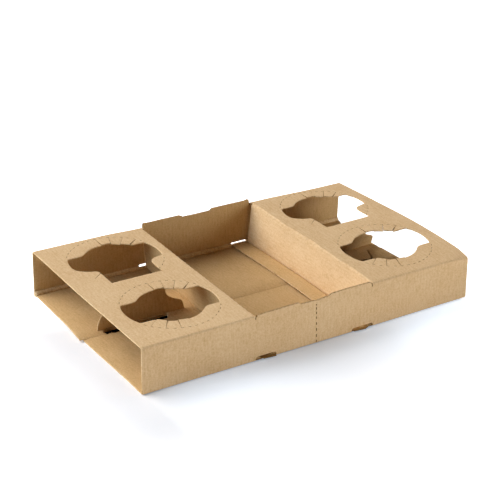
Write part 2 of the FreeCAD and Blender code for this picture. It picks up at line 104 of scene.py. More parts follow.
@dataclass(frozen=True)
class Sizes:
    """Sizes of the folded carrier in millimetres."""

    length: float = 305.0
    width: float = 180.0
    height: float = 38.5
    fold: float = 1.6
    deck: float = 98.0
    cup_place: float = 51.8
    right_near_shift: float = -2.2
    right_far_shift: float = -1.3
    near_cup: float = 48.7
    far_cup: float = 137.0
    near_floor_edge: float = 110.5
    far_floor_edge: float = 91.0
    lap_fade: float = 38.0
    partition_lean: float = 3.5
    partition_near: float = 2.0
    partition_far: float = 176.1
    flange: float = 16.0
    # Radius of the fold between a deck and its partition.
    crease: float = 1.4
    # The bead runs from this level on the far wall to this line on the far floor panel.
    bead_top: float = 4.6
    bead_foot: float = 175.8
    # Levels at which the relief cuts beside the deck corners end.
    near_relief: float = 35.6
    far_relief: float = 36.0
    # Slots for the flange tongues: first and last place along the sleeve, lowest and highest level.
    near_slots: tuple[tuple[float, ...], ...] = ((97.0, 116.2, -0.4, 3.6), (187.5, 208.4, -0.5, 3.5))
    far_slots: tuple[tuple[float, ...], ...] = ((94.8, 116.8, 2.5, 5.2), (187.7, 203.9, 1.7, 4.4))


@dataclass(frozen=True)
class TearLine:
    """Dashed line down the near wall: its place at the foot, its lean and the levels of its dashes."""

    foot: float = 153.4
    lean: float = 0.03
    low_half_width: float = 0.5
    high_half_width: float = 0.45
    reach: float = 0.62
    lowest: float = 0.2
    highest: float = 35.9
    dashes: tuple[Pair, ...] = (
        (0.6, 3.0), (5.6, 8.0), (10.9, 13.4), (16.2, 18.4),
        (21.4, 23.3), (25.6, 27.4), (29.3, 31.4), (33.0, 35.6),
    )

    def place(self, level: np.ndarray | float) -> np.ndarray | float:
        """Middle of the line at a level of the wall."""
        return self.foot - self.lean * level


BOARD = Board()
SIZES = Sizes()


def smooth(value: np.ndarray | float) -> np.ndarray:
    """Smooth step from 0 to 1 over the unit interval."""
    t = np.clip(value, 0.0, 1.0)
    return t * t * (3.0 - 2.0 * t)


def rising(value: np.ndarray, start: float, width: float) -> np.ndarray:
    """Smooth step up that begins at a start and takes a width."""
    return smooth((value - start) / width)


def falling(value: np.ndarray, end: float, width: float) -> np.ndarray:
    """Smooth step down that ends at an end and takes a width."""
    return smooth((end - value) / width)


def bump(value: np.ndarray, width: float) -> np.ndarray:
    """Bell of height 1 around zero that fades over a width."""
    return np.exp(-np.square(np.asarray(value) / width))


def ray_at(angle: float) -> np.ndarray:
    """Unit vector at an angle in degrees."""
    return np.array([math.cos(math.radians(angle)), math.sin(math.radians(angle))])


def below_liner(depth: np.ndarray) -> np.ndarray:
    """Share of a cut edge's thickness that lies above a depth."""
    return np.clip(depth / BOARD.edge_thickness, 0.0, 1.0)


def arc(centre: Pair, radius: float, first: float, last: float, count: int) -> Ring:
    """Points on an arc.

    Args:
        centre: Middle of the arc.
        radius: Its radius.
        first: Angle of its first point in degrees.
        last: Angle of its last point in degrees.
        count: Number of points, ends included.

    Returns:
        The points in order.
    """
    angles = np.radians(np.linspace(first, last, count))
    return [(centre[0] + radius * math.cos(a), centre[1] + radius * math.sin(a)) for a in angles]


def divided(ring: Ring, step: float) -> np.ndarray:
    """Splits the sides of a ring so that none is longer than a step.

    Args:
        ring: Corners of a closed ring.
        step: Longest side that stays.

    Returns:
        Points of the ring, two columns.
    """
    points: list[np.ndarray] = []
    corners = [np.array(c, dtype=float) for c in ring]
    for index, here in enumerate(corners):
        there = corners[(index + 1) % len(corners)]
        parts = max(1, int(math.ceil(np.linalg.norm(there - here) / step)))
        points += [here + (there - here) * k / parts for k in range(parts)]
    return np.array(points)


def inside(points: np.ndarray, ring: np.ndarray) -> np.ndarray:
    """Tells which points lie inside a closed ring.

    Args:
        points: Points, two columns.
        ring: Corners of the ring, two columns.

    Returns:
        One truth value for each point.
    """
    answer = np.zeros(len(points), dtype=bool)
    low, high = ring.min(axis=0), ring.max(axis=0)
    near = np.flatnonzero(np.all((points >= low) & (points <= high), axis=1))
    if len(near) == 0:
        return answer
    px, py = points[near, 0][:, None], points[near, 1][:, None]
    ax, ay = ring[:, 0][None, :], ring[:, 1][None, :]
    bx, by = np.roll(ring[:, 0], -1)[None, :], np.roll(ring[:, 1], -1)[None, :]
    spans = (ay > py) != (by > py)
    rise = np.where(by == ay, 1.0, by - ay)
    crosses = spans & (px < (bx - ax) * (py - ay) / rise + ax)
    answer[near] = crosses.sum(axis=1) % 2 == 1
    return answer


def distance(points: np.ndarray, ring: np.ndarray) -> np.ndarray:
    """Distance from points to the nearest side of a ring, exact only where it is small.

    Args:
        points: Points, two columns.
        ring: Corners of the ring, two columns.

    Returns:
        One distance for each point, and a large number away from the ring.
    """
    margin = 1.5
    answer = np.full(len(points), 99.0)
    low, high = ring.min(axis=0) - margin, ring.max(axis=0) + margin
    near = np.flatnonzero(np.all((points >= low) & (points <= high), axis=1))
    starts, ends = ring, np.roll(ring, -1, axis=0)
    for begin, end in zip(starts, ends):
        span = end - begin
        length = max(float(span @ span), 1e-9)
        offset = points[near] - begin
        along = np.clip(offset @ span / length, 0.0, 1.0)
        gap = np.linalg.norm(offset - along[:, None] * span, axis=1)
        answer[near] = np.minimum(answer[near], gap)
    return answer


def notched(ring: Ring, slits: list[Pair], reach: float) -> Ring:
    """Cuts straight slits outwards from a ring around the origin.

    Args:
        ring: Corners of the ring, counter-clockwise around the origin.
        slits: Direction of each slit in degrees, and its width at its mouth.
        reach: Distance from the origin at which the slits end.

    Returns:
        The ring with its slits.
    """
    result: Ring = []
    for index, here in enumerate(ring):
        there = ring[(index + 1) % len(ring)]
        result.append(here)
        a, b = np.array(here), np.array(there)
        first, last = math.degrees(math.atan2(a[1], a[0])), math.degrees(math.atan2(b[1], b[0]))
        for angle, width in slits:
            turn = (angle - first + 180.0) % 360.0 - 180.0
            whole = (last - first + 180.0) % 360.0 - 180.0
            if whole <= 0.0 or not 0.0 <= turn < whole:
                continue
            mouth = np.linalg.norm(a + (b - a) * turn / whole)
            ray = ray_at(angle)
            side = np.array([-ray[1], ray[0]]) * width / 2.0
            for distance_out, shift, share in (
                (mouth, -side, 1.0), (reach, -side, 0.45), (reach, side, 0.45), (mouth, side, 1.0),
            ):
                point = ray * distance_out + shift * share
                result.append((float(point[0]), float(point[1])))
    return result


@dataclass(frozen=True)
class CupHole:
    """Outline of a cup hole around its centre: a round with two ears, slits and a dashed ring."""

    radius: float = 26.7
    ring: float = 38.6
    ear_radius: float = 38.0
    ear_rise: float = 15.9
    fillet: float = 9.0
    ear_round: float = 2.5
    slit_angles: tuple[float, ...] = (38.0, 55.0, 72.0, 89.0)
    petal_steps: tuple[Pair, ...] = ((-0.25, 0.45), (0.2, -0.5), (-0.1, 0.6), (0.3, -0.4))
    slit_widths: tuple[float, ...] = (0.5, 0.5, 0.42, 0.2)
    dash: tuple[float, float, float] = (2.3, 3.2, 0.5)

    def upper(self) -> Ring:
        """The upper half from the right ear round to the left ear, counter-clockwise."""
        reach = self.radius + self.fillet
        rise = self.ear_rise + self.fillet
        out = math.sqrt(reach * reach - rise * rise)
        touch = math.degrees(math.atan2(rise, out))
        inner = self.ear_radius - self.ear_round
        corner_y = self.ear_rise - self.ear_round
        corner_x = math.sqrt(inner * inner - corner_y * corner_y)
        corner = math.degrees(math.atan2(corner_y, corner_x))
        right = arc((0.0, 0.0), self.ear_radius, 0.0, corner, 9)
        right += arc((corner_x, corner_y), self.ear_round, corner, 90.0, 5)[1:]
        right += arc((out, rise), self.fillet, 270.0, 180.0 + touch, 7)
        round_part = arc((0.0, 0.0), self.radius, touch, 180.0 - touch, 41)[1:-1]
        left = [(-x, y) for x, y in right[::-1]]
        return right + round_part + left

    def whole(self) -> Ring:
        """The near hole: the upper half and its half turn."""
        half = self.upper()[:-1]
        return half + [(-x, -y) for x, y in half]

    def lift(self, across: np.ndarray, along: np.ndarray, fin_side: bool) -> np.ndarray:
        """How far the petals between the slits have sprung up or sunk.

        Args:
            across: Places across the sleeve, from the cup centre.
            along: Places along the strip, from the cup centre.
            fin_side: Whether the lower half is the fin's opening.

        Returns:
            Heights in millimetres.
        """
        distance_out = np.hypot(across, along)
        angle = np.degrees(np.arctan2(along, across)) % 360.0
        stops, heights = [24.0], [0.0]
        for place, (before, after) in zip(self.slit_angles, self.petal_steps):
            stops += [place - 0.01, place + 0.01]
            heights += [before, after]
        stops += [150.0]
        heights += [0.0]
        share = np.clip((self.ring - distance_out) / (self.ring - self.radius), 0.0, 1.6)
        upper = np.interp(angle, stops, heights, left=0.0, right=0.0)
        lower = np.interp(angle - 180.0, stops, heights, left=0.0, right=0.0)
        return share * (upper + (0.0 if fin_side else 0.8) * lower)

    def closed(self, points: np.ndarray, depth: np.ndarray) -> np.ndarray:
        """Brings the sides of the knife slits together below the outer liner.

        Args:
            points: Flat places from the cup centre, two columns.
            depth: How far below the outer liner each point lies.

        Returns:
            The places with the slits closed.
        """
        result = points.copy()
        for angle, width in self.slits():
            ray = ray_at(angle)
            side = np.array([-ray[1], ray[0]])
            out, off = points @ ray, points @ side
            near = (np.abs(off) < width / 2.0 + 0.02) & (out > self.radius - 2.0) & (out < self.ring + 0.1)
            share = 0.95 * below_liner(depth) * near
            result -= (share * off)[:, None] * side
        out = np.linalg.norm(points, axis=1)
        on_ring = np.abs(out - self.ring) < self.dash[2] / 2.0 + 0.02
        share = 0.9 * below_liner(depth) * on_ring
        result -= (share * (out - self.ring) / np.maximum(out, 1.0))[:, None] * points
        return result

    def slits(self) -> list[Pair]:
        """Angle and width of each slit, and of its copy half a turn round."""
        pairs = list(zip(self.slit_angles, self.slit_widths))
        return pairs + [(angle + 180.0, width) for angle, width in pairs]

    def is_knife_cut(self, points: np.ndarray) -> np.ndarray:
        """Tells which places lie in a slit or on the dashed ring, from the cup centre."""
        out = np.linalg.norm(points, axis=1)
        found = np.abs(out - self.ring) < self.dash[2] / 2.0 + 0.05
        for angle, width in self.slits():
            ray = ray_at(angle)
            off = points @ np.array([-ray[1], ray[0]])
            along = points @ ray
            reached = (along > self.radius + 1.0) & (out < self.ring + 0.2)
            found |= reached & (np.abs(off) < width / 2.0 + 0.05)
        return found

    def dashes(self, first: float, last: float) -> list[Ring]:
        """Dashes of the ring crease.

        Args:
            first: Angle at which the row starts, in degrees.
            last: Angle at which it ends.

        Returns:
            One small ring of corners for each dash.
        """
        length, gap, width = self.dash
        count = int(math.radians(last - first) * self.ring / (length + gap))
        rings = []
        for index in range(count):
            angle = math.radians(first + (last - first) * (index + 0.5) / count)
            half = length / self.ring / 2.0
            corners = [
                (self.ring + width / 2, angle - half), (self.ring + width / 2, angle + half),
                (self.ring - width / 2, angle + half), (self.ring - width / 2, angle - half),
            ]
            rings.append([(r * math.cos(a), r * math.sin(a)) for r, a in corners])
        return rings


@dataclass(frozen=True)
class Fin:
    """The flap between two cups: its outline across and down from the middle of its fold.

    A lean is how far the foot stands to the near side. The right fin hangs free to the far side. It is
    stretched so that its foot comes down to the floor, and its right side is trimmed.
    """

    half_fold: float = 22.5
    fold_place: float = 36.9
    reach: float = 37.0
    left_lean: float = 4.6
    right_lean: float = -16.8
    right_stretch: float = 1.105
    right_trim: float = 2.6
    left: tuple[Pair, ...] = (
        (-22.5, 18.6), (-23.0, 21.4), (-25.0, 23.4), (-28.5, 24.4), (-31.5, 25.1), (-34.0, 26.4),
        (-35.4, 28.2), (-36.6, 30.0), (-37.5, 32.5), (-38.2, 37.0),
    )
    right: tuple[Pair, ...] = (
        (22.9, 14.0), (23.5, 16.4), (23.9, 20.2), (25.0, 22.6), (27.1, 24.5), (30.6, 26.6),
        (34.9, 28.3), (37.0, 29.1), (38.3, 30.3), (39.1, 33.0), (39.9, 37.0),
    )

    def flap(self) -> Ring:
        """Outline of the folded flap, across and down."""
        top = [(-self.half_fold, 0.0), (self.half_fold, 0.0)]
        return top + list(self.right) + list(self.left[::-1])

    def opening(self) -> Ring:
        """Lower half of the far hole, from its left ear down, along the fold and up to the right ear."""
        return [
            (-37.0, -4.0), (-36.1, -5.6), (-33.4, -8.1), (-29.5, -11.0), (-26.8, -12.2), (-24.3, -12.9),
            (-22.9, -14.6), (-22.5, -17.0), (-22.5, -self.fold_place), (22.5, -self.fold_place),
            (22.5, -20.5), (23.0, -17.2), (24.6, -14.7), (27.5, -13.3), (30.5, -12.6), (33.6, -11.9),
            (36.0, -11.5), (36.9, -9.2), (37.6, -5.5),
        ]


PointTest = Callable[[np.ndarray], np.ndarray]


def nowhere(flat: np.ndarray) -> np.ndarray:
    """Answers no for every flat point."""
    return np.zeros(len(flat), dtype=bool)


@dataclass
class Panel:
    """A flat piece of the blank, and how it folds into place.

    A fold takes flat points and a depth below the outer liner, and gives points in millimetres. The tests
    at the end tell which cut edges are knife cuts with a painted shade, which places have a painted shade on
    both liners, which are open at the edge, which have a painted highlight on the inner liner, and which
    have a painted shade on the outer one.
    """

    name: str
    outline: Ring
    holes: list[Ring]
    columns: np.ndarray
    rows: np.ndarray
    fold: Callable[[np.ndarray, np.ndarray], np.ndarray]
    flutes: Flutes = Flutes.ALONG_FIRST
    joined: list[tuple[Pair, Pair]] = field(default_factory=list)
    ring_step: float = 2.4
    shaded_cuts: PointTest = nowhere
    painted_slot_shade: PointTest = nowhere
    open_flutes: PointTest = nowhere
    painted_highlight: PointTest = nowhere
    painted_dim: PointTest = nowhere


class SheetMesh:
    """Gathers the vertices and faces of all panels into one mesh."""

    # Grid points this near to a cut are left out.
    GRID_GAP = 0.3
    # Twice the area of the smallest triangle that is kept.
    SLIVER = 1e-4
    # How far a side may lie off a line at which two panels are joined.
    JOIN_SLACK = 0.05

    def __init__(self) -> None:
        """Starts with nothing in it."""
        self.points: list[np.ndarray] = []
        self.faces: list[tuple[int, ...]] = []
        self.kinds: list[int] = []
        self.flat: list[np.ndarray] = []
        self.count = 0

    def add_points(self, points: np.ndarray, flat: np.ndarray) -> int:
        """Adds vertices and returns the number of the first."""
        first = self.count
        self.points.append(points)
        self.flat.append(flat)
        self.count += len(points)
        return first

    def add_panel(self, panel: Panel) -> None:
        """Cuts a panel out of the blank, folds it and gives it its thickness.

        Args:
            panel: The panel to add.
        """
        rings = [divided(panel.outline, panel.ring_step)]
        rings += [divided(ring, panel.ring_step) for ring in panel.holes]
        across, along = np.meshgrid(panel.columns, panel.rows)
        grid = np.column_stack([across.ravel(), along.ravel()])
        keep = inside(grid, rings[0])
        for ring in rings:
            keep &= distance(grid, ring) > self.GRID_GAP
        for ring in rings[1:]:
            keep &= ~inside(grid, ring)
        grid = grid[keep]
        points = [Vector(p) for p in grid]
        edges: list[tuple[int, int]] = []
        for ring in rings:
            base = len(points)
            points += [Vector(p) for p in ring]
            edges += [(base + k, base + (k + 1) % len(ring)) for k in range(len(ring))]
        found = delaunay_2d_cdt(points, edges, [], 0, 1e-4)
        flat = np.array([tuple(v) for v in found[0]])
        triangles = np.array([tuple(t) for t in found[2]])
        centres = flat[triangles].mean(axis=1)
        solid = inside(centres, rings[0])
        for ring in rings[1:]:
            solid &= ~inside(centres, ring)
        corners = flat[triangles]
        side_a, side_b = corners[:, 1] - corners[:, 0], corners[:, 2] - corners[:, 0]
        twice_area = side_a[:, 0] * side_b[:, 1] - side_a[:, 1] * side_b[:, 0]
        solid &= np.abs(twice_area) > self.SLIVER
        triangles = np.where(twice_area[:, None] > 0, triangles, triangles[:, ::-1])[solid]
        self._add_faces(panel, flat, triangles)

    def _add_faces(self, panel: Panel, flat: np.ndarray, triangles: np.ndarray) -> None:
        """Adds both liners and the cut edges of a cut panel.

        Args:
            panel: The panel that is added.
            flat: Its flat points.
            triangles: Its triangles, counter-clockwise seen from the outer liner.
        """
        used = np.unique(triangles)
        renumber = np.full(len(flat), -1)
        renumber[used] = np.arange(len(used))
        flat = flat[used]
        triangles = renumber[triangles]
        directed = {}
        for triangle in triangles:
            for k in range(3):
                directed[(int(triangle[k]), int(triangle[(k + 1) % 3]))] = True
        rim = [edge for edge in directed if (edge[1], edge[0]) not in directed]
        rim = [edge for edge in rim if not self._is_joined(panel, flat[edge[0]], flat[edge[1]])]
        # Cut edges are crushed, so both liners come together there.
        cut_points = np.unique(np.array(rim))
        outer_depth, inner_depth = np.zeros(len(flat)), np.full(len(flat), BOARD.thickness)
        opened = panel.open_flutes(flat[cut_points])
        outer_depth[cut_points] = np.where(opened, BOARD.open_drop, BOARD.edge_drop)
        inner_depth[cut_points] = np.where(opened, BOARD.thickness - BOARD.open_drop, BOARD.edge_thickness)
        outer = self.add_points(panel.fold(flat, outer_depth), self._blank(panel, flat))
        inner = self.add_points(panel.fold(flat, inner_depth), self._blank(panel, flat))
        middles = flat[triangles].mean(axis=1)
        # Slot places get the dark cut colour on both liners, a painted shade.
        painted_slot_shade = panel.painted_slot_shade(middles)
        # Dim places take the inner liner's darker colour on the outer liner, a painted shade.
        outer_kinds = np.where(panel.painted_dim(middles), Face.INNER.value, Face.OUTER.value)
        # Bead places take the paler cut edge colour on the inner liner, a painted highlight.
        inner_kinds = np.where(panel.painted_highlight(middles), Face.EDGE.value, Face.INNER.value)
        outer_kinds[painted_slot_shade] = inner_kinds[painted_slot_shade] = Face.CUT_SHADE.value
        for (a, b, c), outer_kind, inner_kind in zip(triangles, outer_kinds, inner_kinds):
            self.faces.append((outer + a, outer + b, outer + c))
            self.kinds.append(int(outer_kind))
            self.faces.append((inner + a, inner + c, inner + b))
            self.kinds.append(int(inner_kind))
        self._add_rim(panel, flat, rim, outer, inner)

    @staticmethod
    def _blank(panel: Panel, flat: np.ndarray) -> np.ndarray:
        """Flat coordinates with the count across the flutes first."""
        return flat if panel.flutes is Flutes.ALONG_FIRST else flat[:, ::-1]

    def _is_joined(self, panel: Panel, first: np.ndarray, second: np.ndarray) -> bool:
        """Tells whether a side of the panel carries on into its neighbour."""
        for start, end in panel.joined:
            begin, span = np.array(start), np.array(end) - np.array(start)
            length = float(np.linalg.norm(span))
            for point in (first, second):
                offset = point - begin
                along = float(offset @ span) / length
                away = abs(span[0] * offset[1] - span[1] * offset[0]) / length
                if max(away, -along, along - length) > self.JOIN_SLACK:
                    break
            else:
                return True
        return False

    def _add_rim(self, panel: Panel, flat: np.ndarray, rim: list[tuple[int, int]],
                 outer: int, inner: int) -> None:
        """Adds the cut edge: two liner edges with the fluted core set back between them.

        Args:
            panel: The panel that is added.
            flat: Its flat points.
            rim: Sides with nothing beyond them, with the board on their left.
            outer: Number of the first vertex on the outer liner.
            inner: Number of the first vertex on the inner liner.
        """
        inward = np.zeros((len(flat), 2))
        crossing = np.zeros(len(flat))
        touched = np.zeros(len(flat))
        flute_axis = 0 if panel.flutes is Flutes.ALONG_FIRST else 1
        for a, b in rim:
            span = flat[b] - flat[a]
            length = max(float(np.linalg.norm(span)), 1e-9)
            left = np.array([-span[1], span[0]]) / length
            for end in (a, b):
                inward[end] += left
                crossing[end] += abs(span[flute_axis]) / length
                touched[end] += 1
        rim_points = np.flatnonzero(touched > 0)
        place = np.full(len(flat), -1)
        place[rim_points] = np.arange(len(rim_points))
        edge_flat = flat[rim_points]
        lengths = np.maximum(np.linalg.norm(inward[rim_points], axis=1), 1e-6)
        set_back = BOARD.edge_recess * (0.35 + 0.65 * crossing[rim_points] / touched[rim_points])
        opened = panel.open_flutes(edge_flat)
        set_back = np.where(opened, BOARD.open_recess, set_back)
        deeper = edge_flat + inward[rim_points] / lengths[:, None] * set_back[:, None]
        liner = np.where(opened, BOARD.open_drop, BOARD.edge_drop) + BOARD.liner
        core = np.where(opened, BOARD.thickness - BOARD.open_drop, BOARD.edge_thickness) - BOARD.liner
        rows = []
        for place_flat, depths in ((edge_flat, liner), (deeper, liner), (deeper, core), (edge_flat, core)):
            rows.append(self.add_points(panel.fold(place_flat, depths), self._blank(panel, place_flat)))
        middles = np.array([(flat[a] + flat[b]) / 2.0 for a, b in rim])
        # Knife cuts and slots get the dark cut colour, a painted shade.
        kinds = np.where(panel.shaded_cuts(middles), Face.CUT_SHADE.value, Face.EDGE.value)
        for (a, b), kind in zip(rim, kinds):
            pa, pb = int(place[a]), int(place[b])
            chain_a = [outer + a] + [row + pa for row in rows] + [inner + a]
            chain_b = [outer + b] + [row + pb for row in rows] + [inner + b]
            for k in range(len(chain_a) - 1):
                self.faces.append((chain_a[k], chain_a[k + 1], chain_b[k + 1], chain_b[k]))
                self.kinds.append(int(kind))

    def make(self, name: str) -> bpy.types.Object:
        """Makes the Blender object.

        Args:
            name: Name of the object.

        Returns:
            The new object, in metres in the carrier's frame.
        """
        points = (np.vstack(self.points) - FRAME_ORIGIN) * MM
        flat = np.vstack(self.flat) * MM
        mesh = bpy.data.meshes.new(name)
        mesh.from_pydata([tuple(p) for p in points], [], self.faces)
        mesh.polygons.foreach_set("material_index", self.kinds)
        layer = mesh.uv_layers.new(name="blank")
        loops = np.empty(len(mesh.loops), dtype=np.int32)
        mesh.loops.foreach_get("vertex_index", loops)
        layer.data.foreach_set("uv", flat[loops].ravel())
        mesh.update()
        thing = bpy.data.objects.new(name, mesh)
        bpy.context.scene.collection.objects.link(thing)
        return thing


class Sleeve:
    """The strip that runs near floor, near wall, decks, far wall and far floor."""

    def __init__(self, sizes: Sizes) -> None:
        """Works out where each fold starts along the strip.

        Args:
            sizes: Sizes of the folded carrier.
        """
        self.sizes = sizes
        bend = math.pi / 2.0 * sizes.fold
        self.floor_end = sizes.near_floor_edge - sizes.fold
        self.wall_start = self.floor_end + bend
        self.wall_end = self.wall_start + sizes.height - 2.0 * sizes.fold
        self.deck_start = self.wall_end + bend
        self.deck_end = self.deck_start + sizes.width - 2.0 * sizes.fold
        self.far_wall_start = self.deck_end + bend
        self.far_wall_end = self.far_wall_start + sizes.height - 2.0 * sizes.fold
        self.far_floor_start = self.far_wall_end + bend
        self.strip_end = self.far_floor_start + sizes.width - sizes.fold - sizes.far_floor_edge
        self.bead_start = self.on_far_wall(sizes.bead_top)
        self.bead_end = self.on_far_floor(sizes.bead_foot)

    def on_deck(self, y: float) -> float:
        """Place along the strip of a line on the decks."""
        return self.deck_start + y - self.sizes.fold

    def on_near_wall(self, z: float) -> float:
        """Place along the strip of a level on the near wall."""
        return self.wall_start + z - self.sizes.fold

    def on_far_wall(self, z: float) -> float:
        """Place along the strip of a level on the far wall."""
        return self.far_wall_start + self.sizes.height - self.sizes.fold - z

    def on_near_floor(self, y: float) -> float:
        """Place along the strip of a line on the near floor panel."""
        return self.sizes.near_floor_edge - y

    def on_far_floor(self, y: float) -> float:
        """Place along the strip of a line on the far floor panel."""
        return self.far_floor_start + self.sizes.width - self.sizes.fold - y

    def fold(self, flat: np.ndarray, depth: np.ndarray) -> np.ndarray:
        """Folds flat points of the strip into the sleeve.

        Args:
            flat: Places across and along the strip.
            depth: How far below the outer liner each point lies.

        Returns:
            Points in millimetres.
        """
        z_ = self.sizes
        x, s = flat[:, 0], flat[:, 1]
        tray = (x > z_.deck + 0.15) & (x < z_.length - z_.deck - 0.15)
        middle = (self.deck_start + self.deck_end) / 2.0
        near_up = tray & (s > self.wall_end) & (s < middle)
        far_up = tray & (s < self.far_wall_start) & (s >= middle)
        y, z = np.zeros(len(x)), np.zeros(len(x))
        ny, nz = np.zeros(len(x)), np.zeros(len(x))
        r, w, h = z_.fold, z_.width, z_.height

        def run(mask: np.ndarray, y0: np.ndarray, z0: np.ndarray, normal: tuple[float, float]) -> None:
            """Places the points of a flat stretch."""
            y[mask], z[mask] = y0[mask], z0[mask]
            ny[mask], nz[mask] = normal

        def turn(mask: np.ndarray, start: float, first: float, cy: float, cz: float) -> None:
            """Places the points of a fold, which turns clockwise seen from the left end."""
            angle = math.radians(first) - (s[mask] - start) / r
            ny[mask], nz[mask] = np.cos(angle), np.sin(angle)
            y[mask], z[mask] = cy + r * ny[mask], cz + r * nz[mask]

        zeros = np.zeros(len(x))
        run(s <= self.floor_end, z_.near_floor_edge - s, zeros, (0.0, -1.0))
        turn((s > self.floor_end) & (s < self.wall_start), self.floor_end, -90.0, r, r)
        run((s >= self.wall_start) & (s <= self.wall_end), zeros, r + s - self.wall_start, (-1.0, 0.0))
        turn((s > self.wall_end) & (s < self.deck_start), self.wall_end, 180.0, r, h - r)
        run((s >= self.deck_start) & (s <= self.deck_end), r + s - self.deck_start, zeros + h, (0.0, 1.0))
        turn((s > self.deck_end) & (s < self.far_wall_start), self.deck_end, 90.0, w - r, h - r)
        run((s >= self.far_wall_start) & (s <= self.far_wall_end), zeros + w,
            h - r - (s - self.far_wall_start), (1.0, 0.0))
        turn((s > self.far_wall_end) & (s < self.far_floor_start), self.far_wall_end, 0.0, w - r, r)
        run(s >= self.far_floor_start, w - r - (s - self.far_floor_start), zeros, (0.0, -1.0))
        run(near_up, zeros, r + s - self.wall_start, (-1.0, 0.0))
        run(far_up, zeros + w, h - r - (s - self.far_wall_start), (1.0, 0.0))
        far_floor = s >= self.far_floor_start
        lift = BOARD.thickness * falling(y, z_.near_floor_edge + z_.lap_fade, z_.lap_fade)
        z = np.where(far_floor, z + lift, z)
        # The free edge of the lap is pressed thin.
        pressed = far_floor * 0.88 * falling(y, z_.far_floor_edge + 5.0, 5.0)
        depth = depth * (1.0 - pressed)
        on_wall = (s > self.floor_end) & (s < self.wall_end)
        wave = washboard(x, s) * np.where(on_wall, 1.0, 0.55)
        shift = wave - depth
        folded = np.column_stack([x, y + ny * shift, z + nz * shift])
        return bent(self._with_bead(folded, s, depth))

    def _with_bead(self, folded: np.ndarray, s: np.ndarray, depth: np.ndarray) -> np.ndarray:
        """Lets the inner liner bulge along the far lower fold, between two scored lines.

        Args:
            folded: Folded points.
            s: Their places along the strip.
            depth: How far below the outer liner each point lies.

        Returns:
            The points with the bead.
        """
        z_ = self.sizes
        turn = (s - self.bead_start) / (self.bead_end - self.bead_start)
        share = np.where((turn > 0.0) & (turn < 1.0), np.clip(depth / BOARD.thickness, 0.0, 1.0), 0.0)
        scores = bump(turn, 0.09) + bump(turn - 1.0, 0.09)
        swell = 0.7 * np.sin(np.pi * np.clip(turn, 0.0, 1.0)) - 0.35 * scores
        inner_wall, top = z_.width - BOARD.thickness, z_.bead_top
        y = inner_wall + (z_.bead_foot - inner_wall) * turn - 0.75 * swell
        z = top + (BOARD.thickness - top) * turn + 0.66 * swell
        result = folded.copy()
        result[:, 1] += share * (y - folded[:, 1])
        result[:, 2] += share * (z - folded[:, 2])
        return result


def washboard(across: np.ndarray, along: np.ndarray) -> np.ndarray:
    """Relief of the flutes that shows through a liner, a little uneven from flute to flute.

    Args:
        across: Places across the flutes.
        along: Places along them.

    Returns:
        Heights in millimetres.
    """
    uneven = 0.55 + 0.45 * np.sin(across / 19.0 + 1.3) * np.sin(across / 7.3 + along / 41.0)
    return BOARD.washboard * uneven * np.cos(2.0 * np.pi * across / BOARD.flute_pitch)


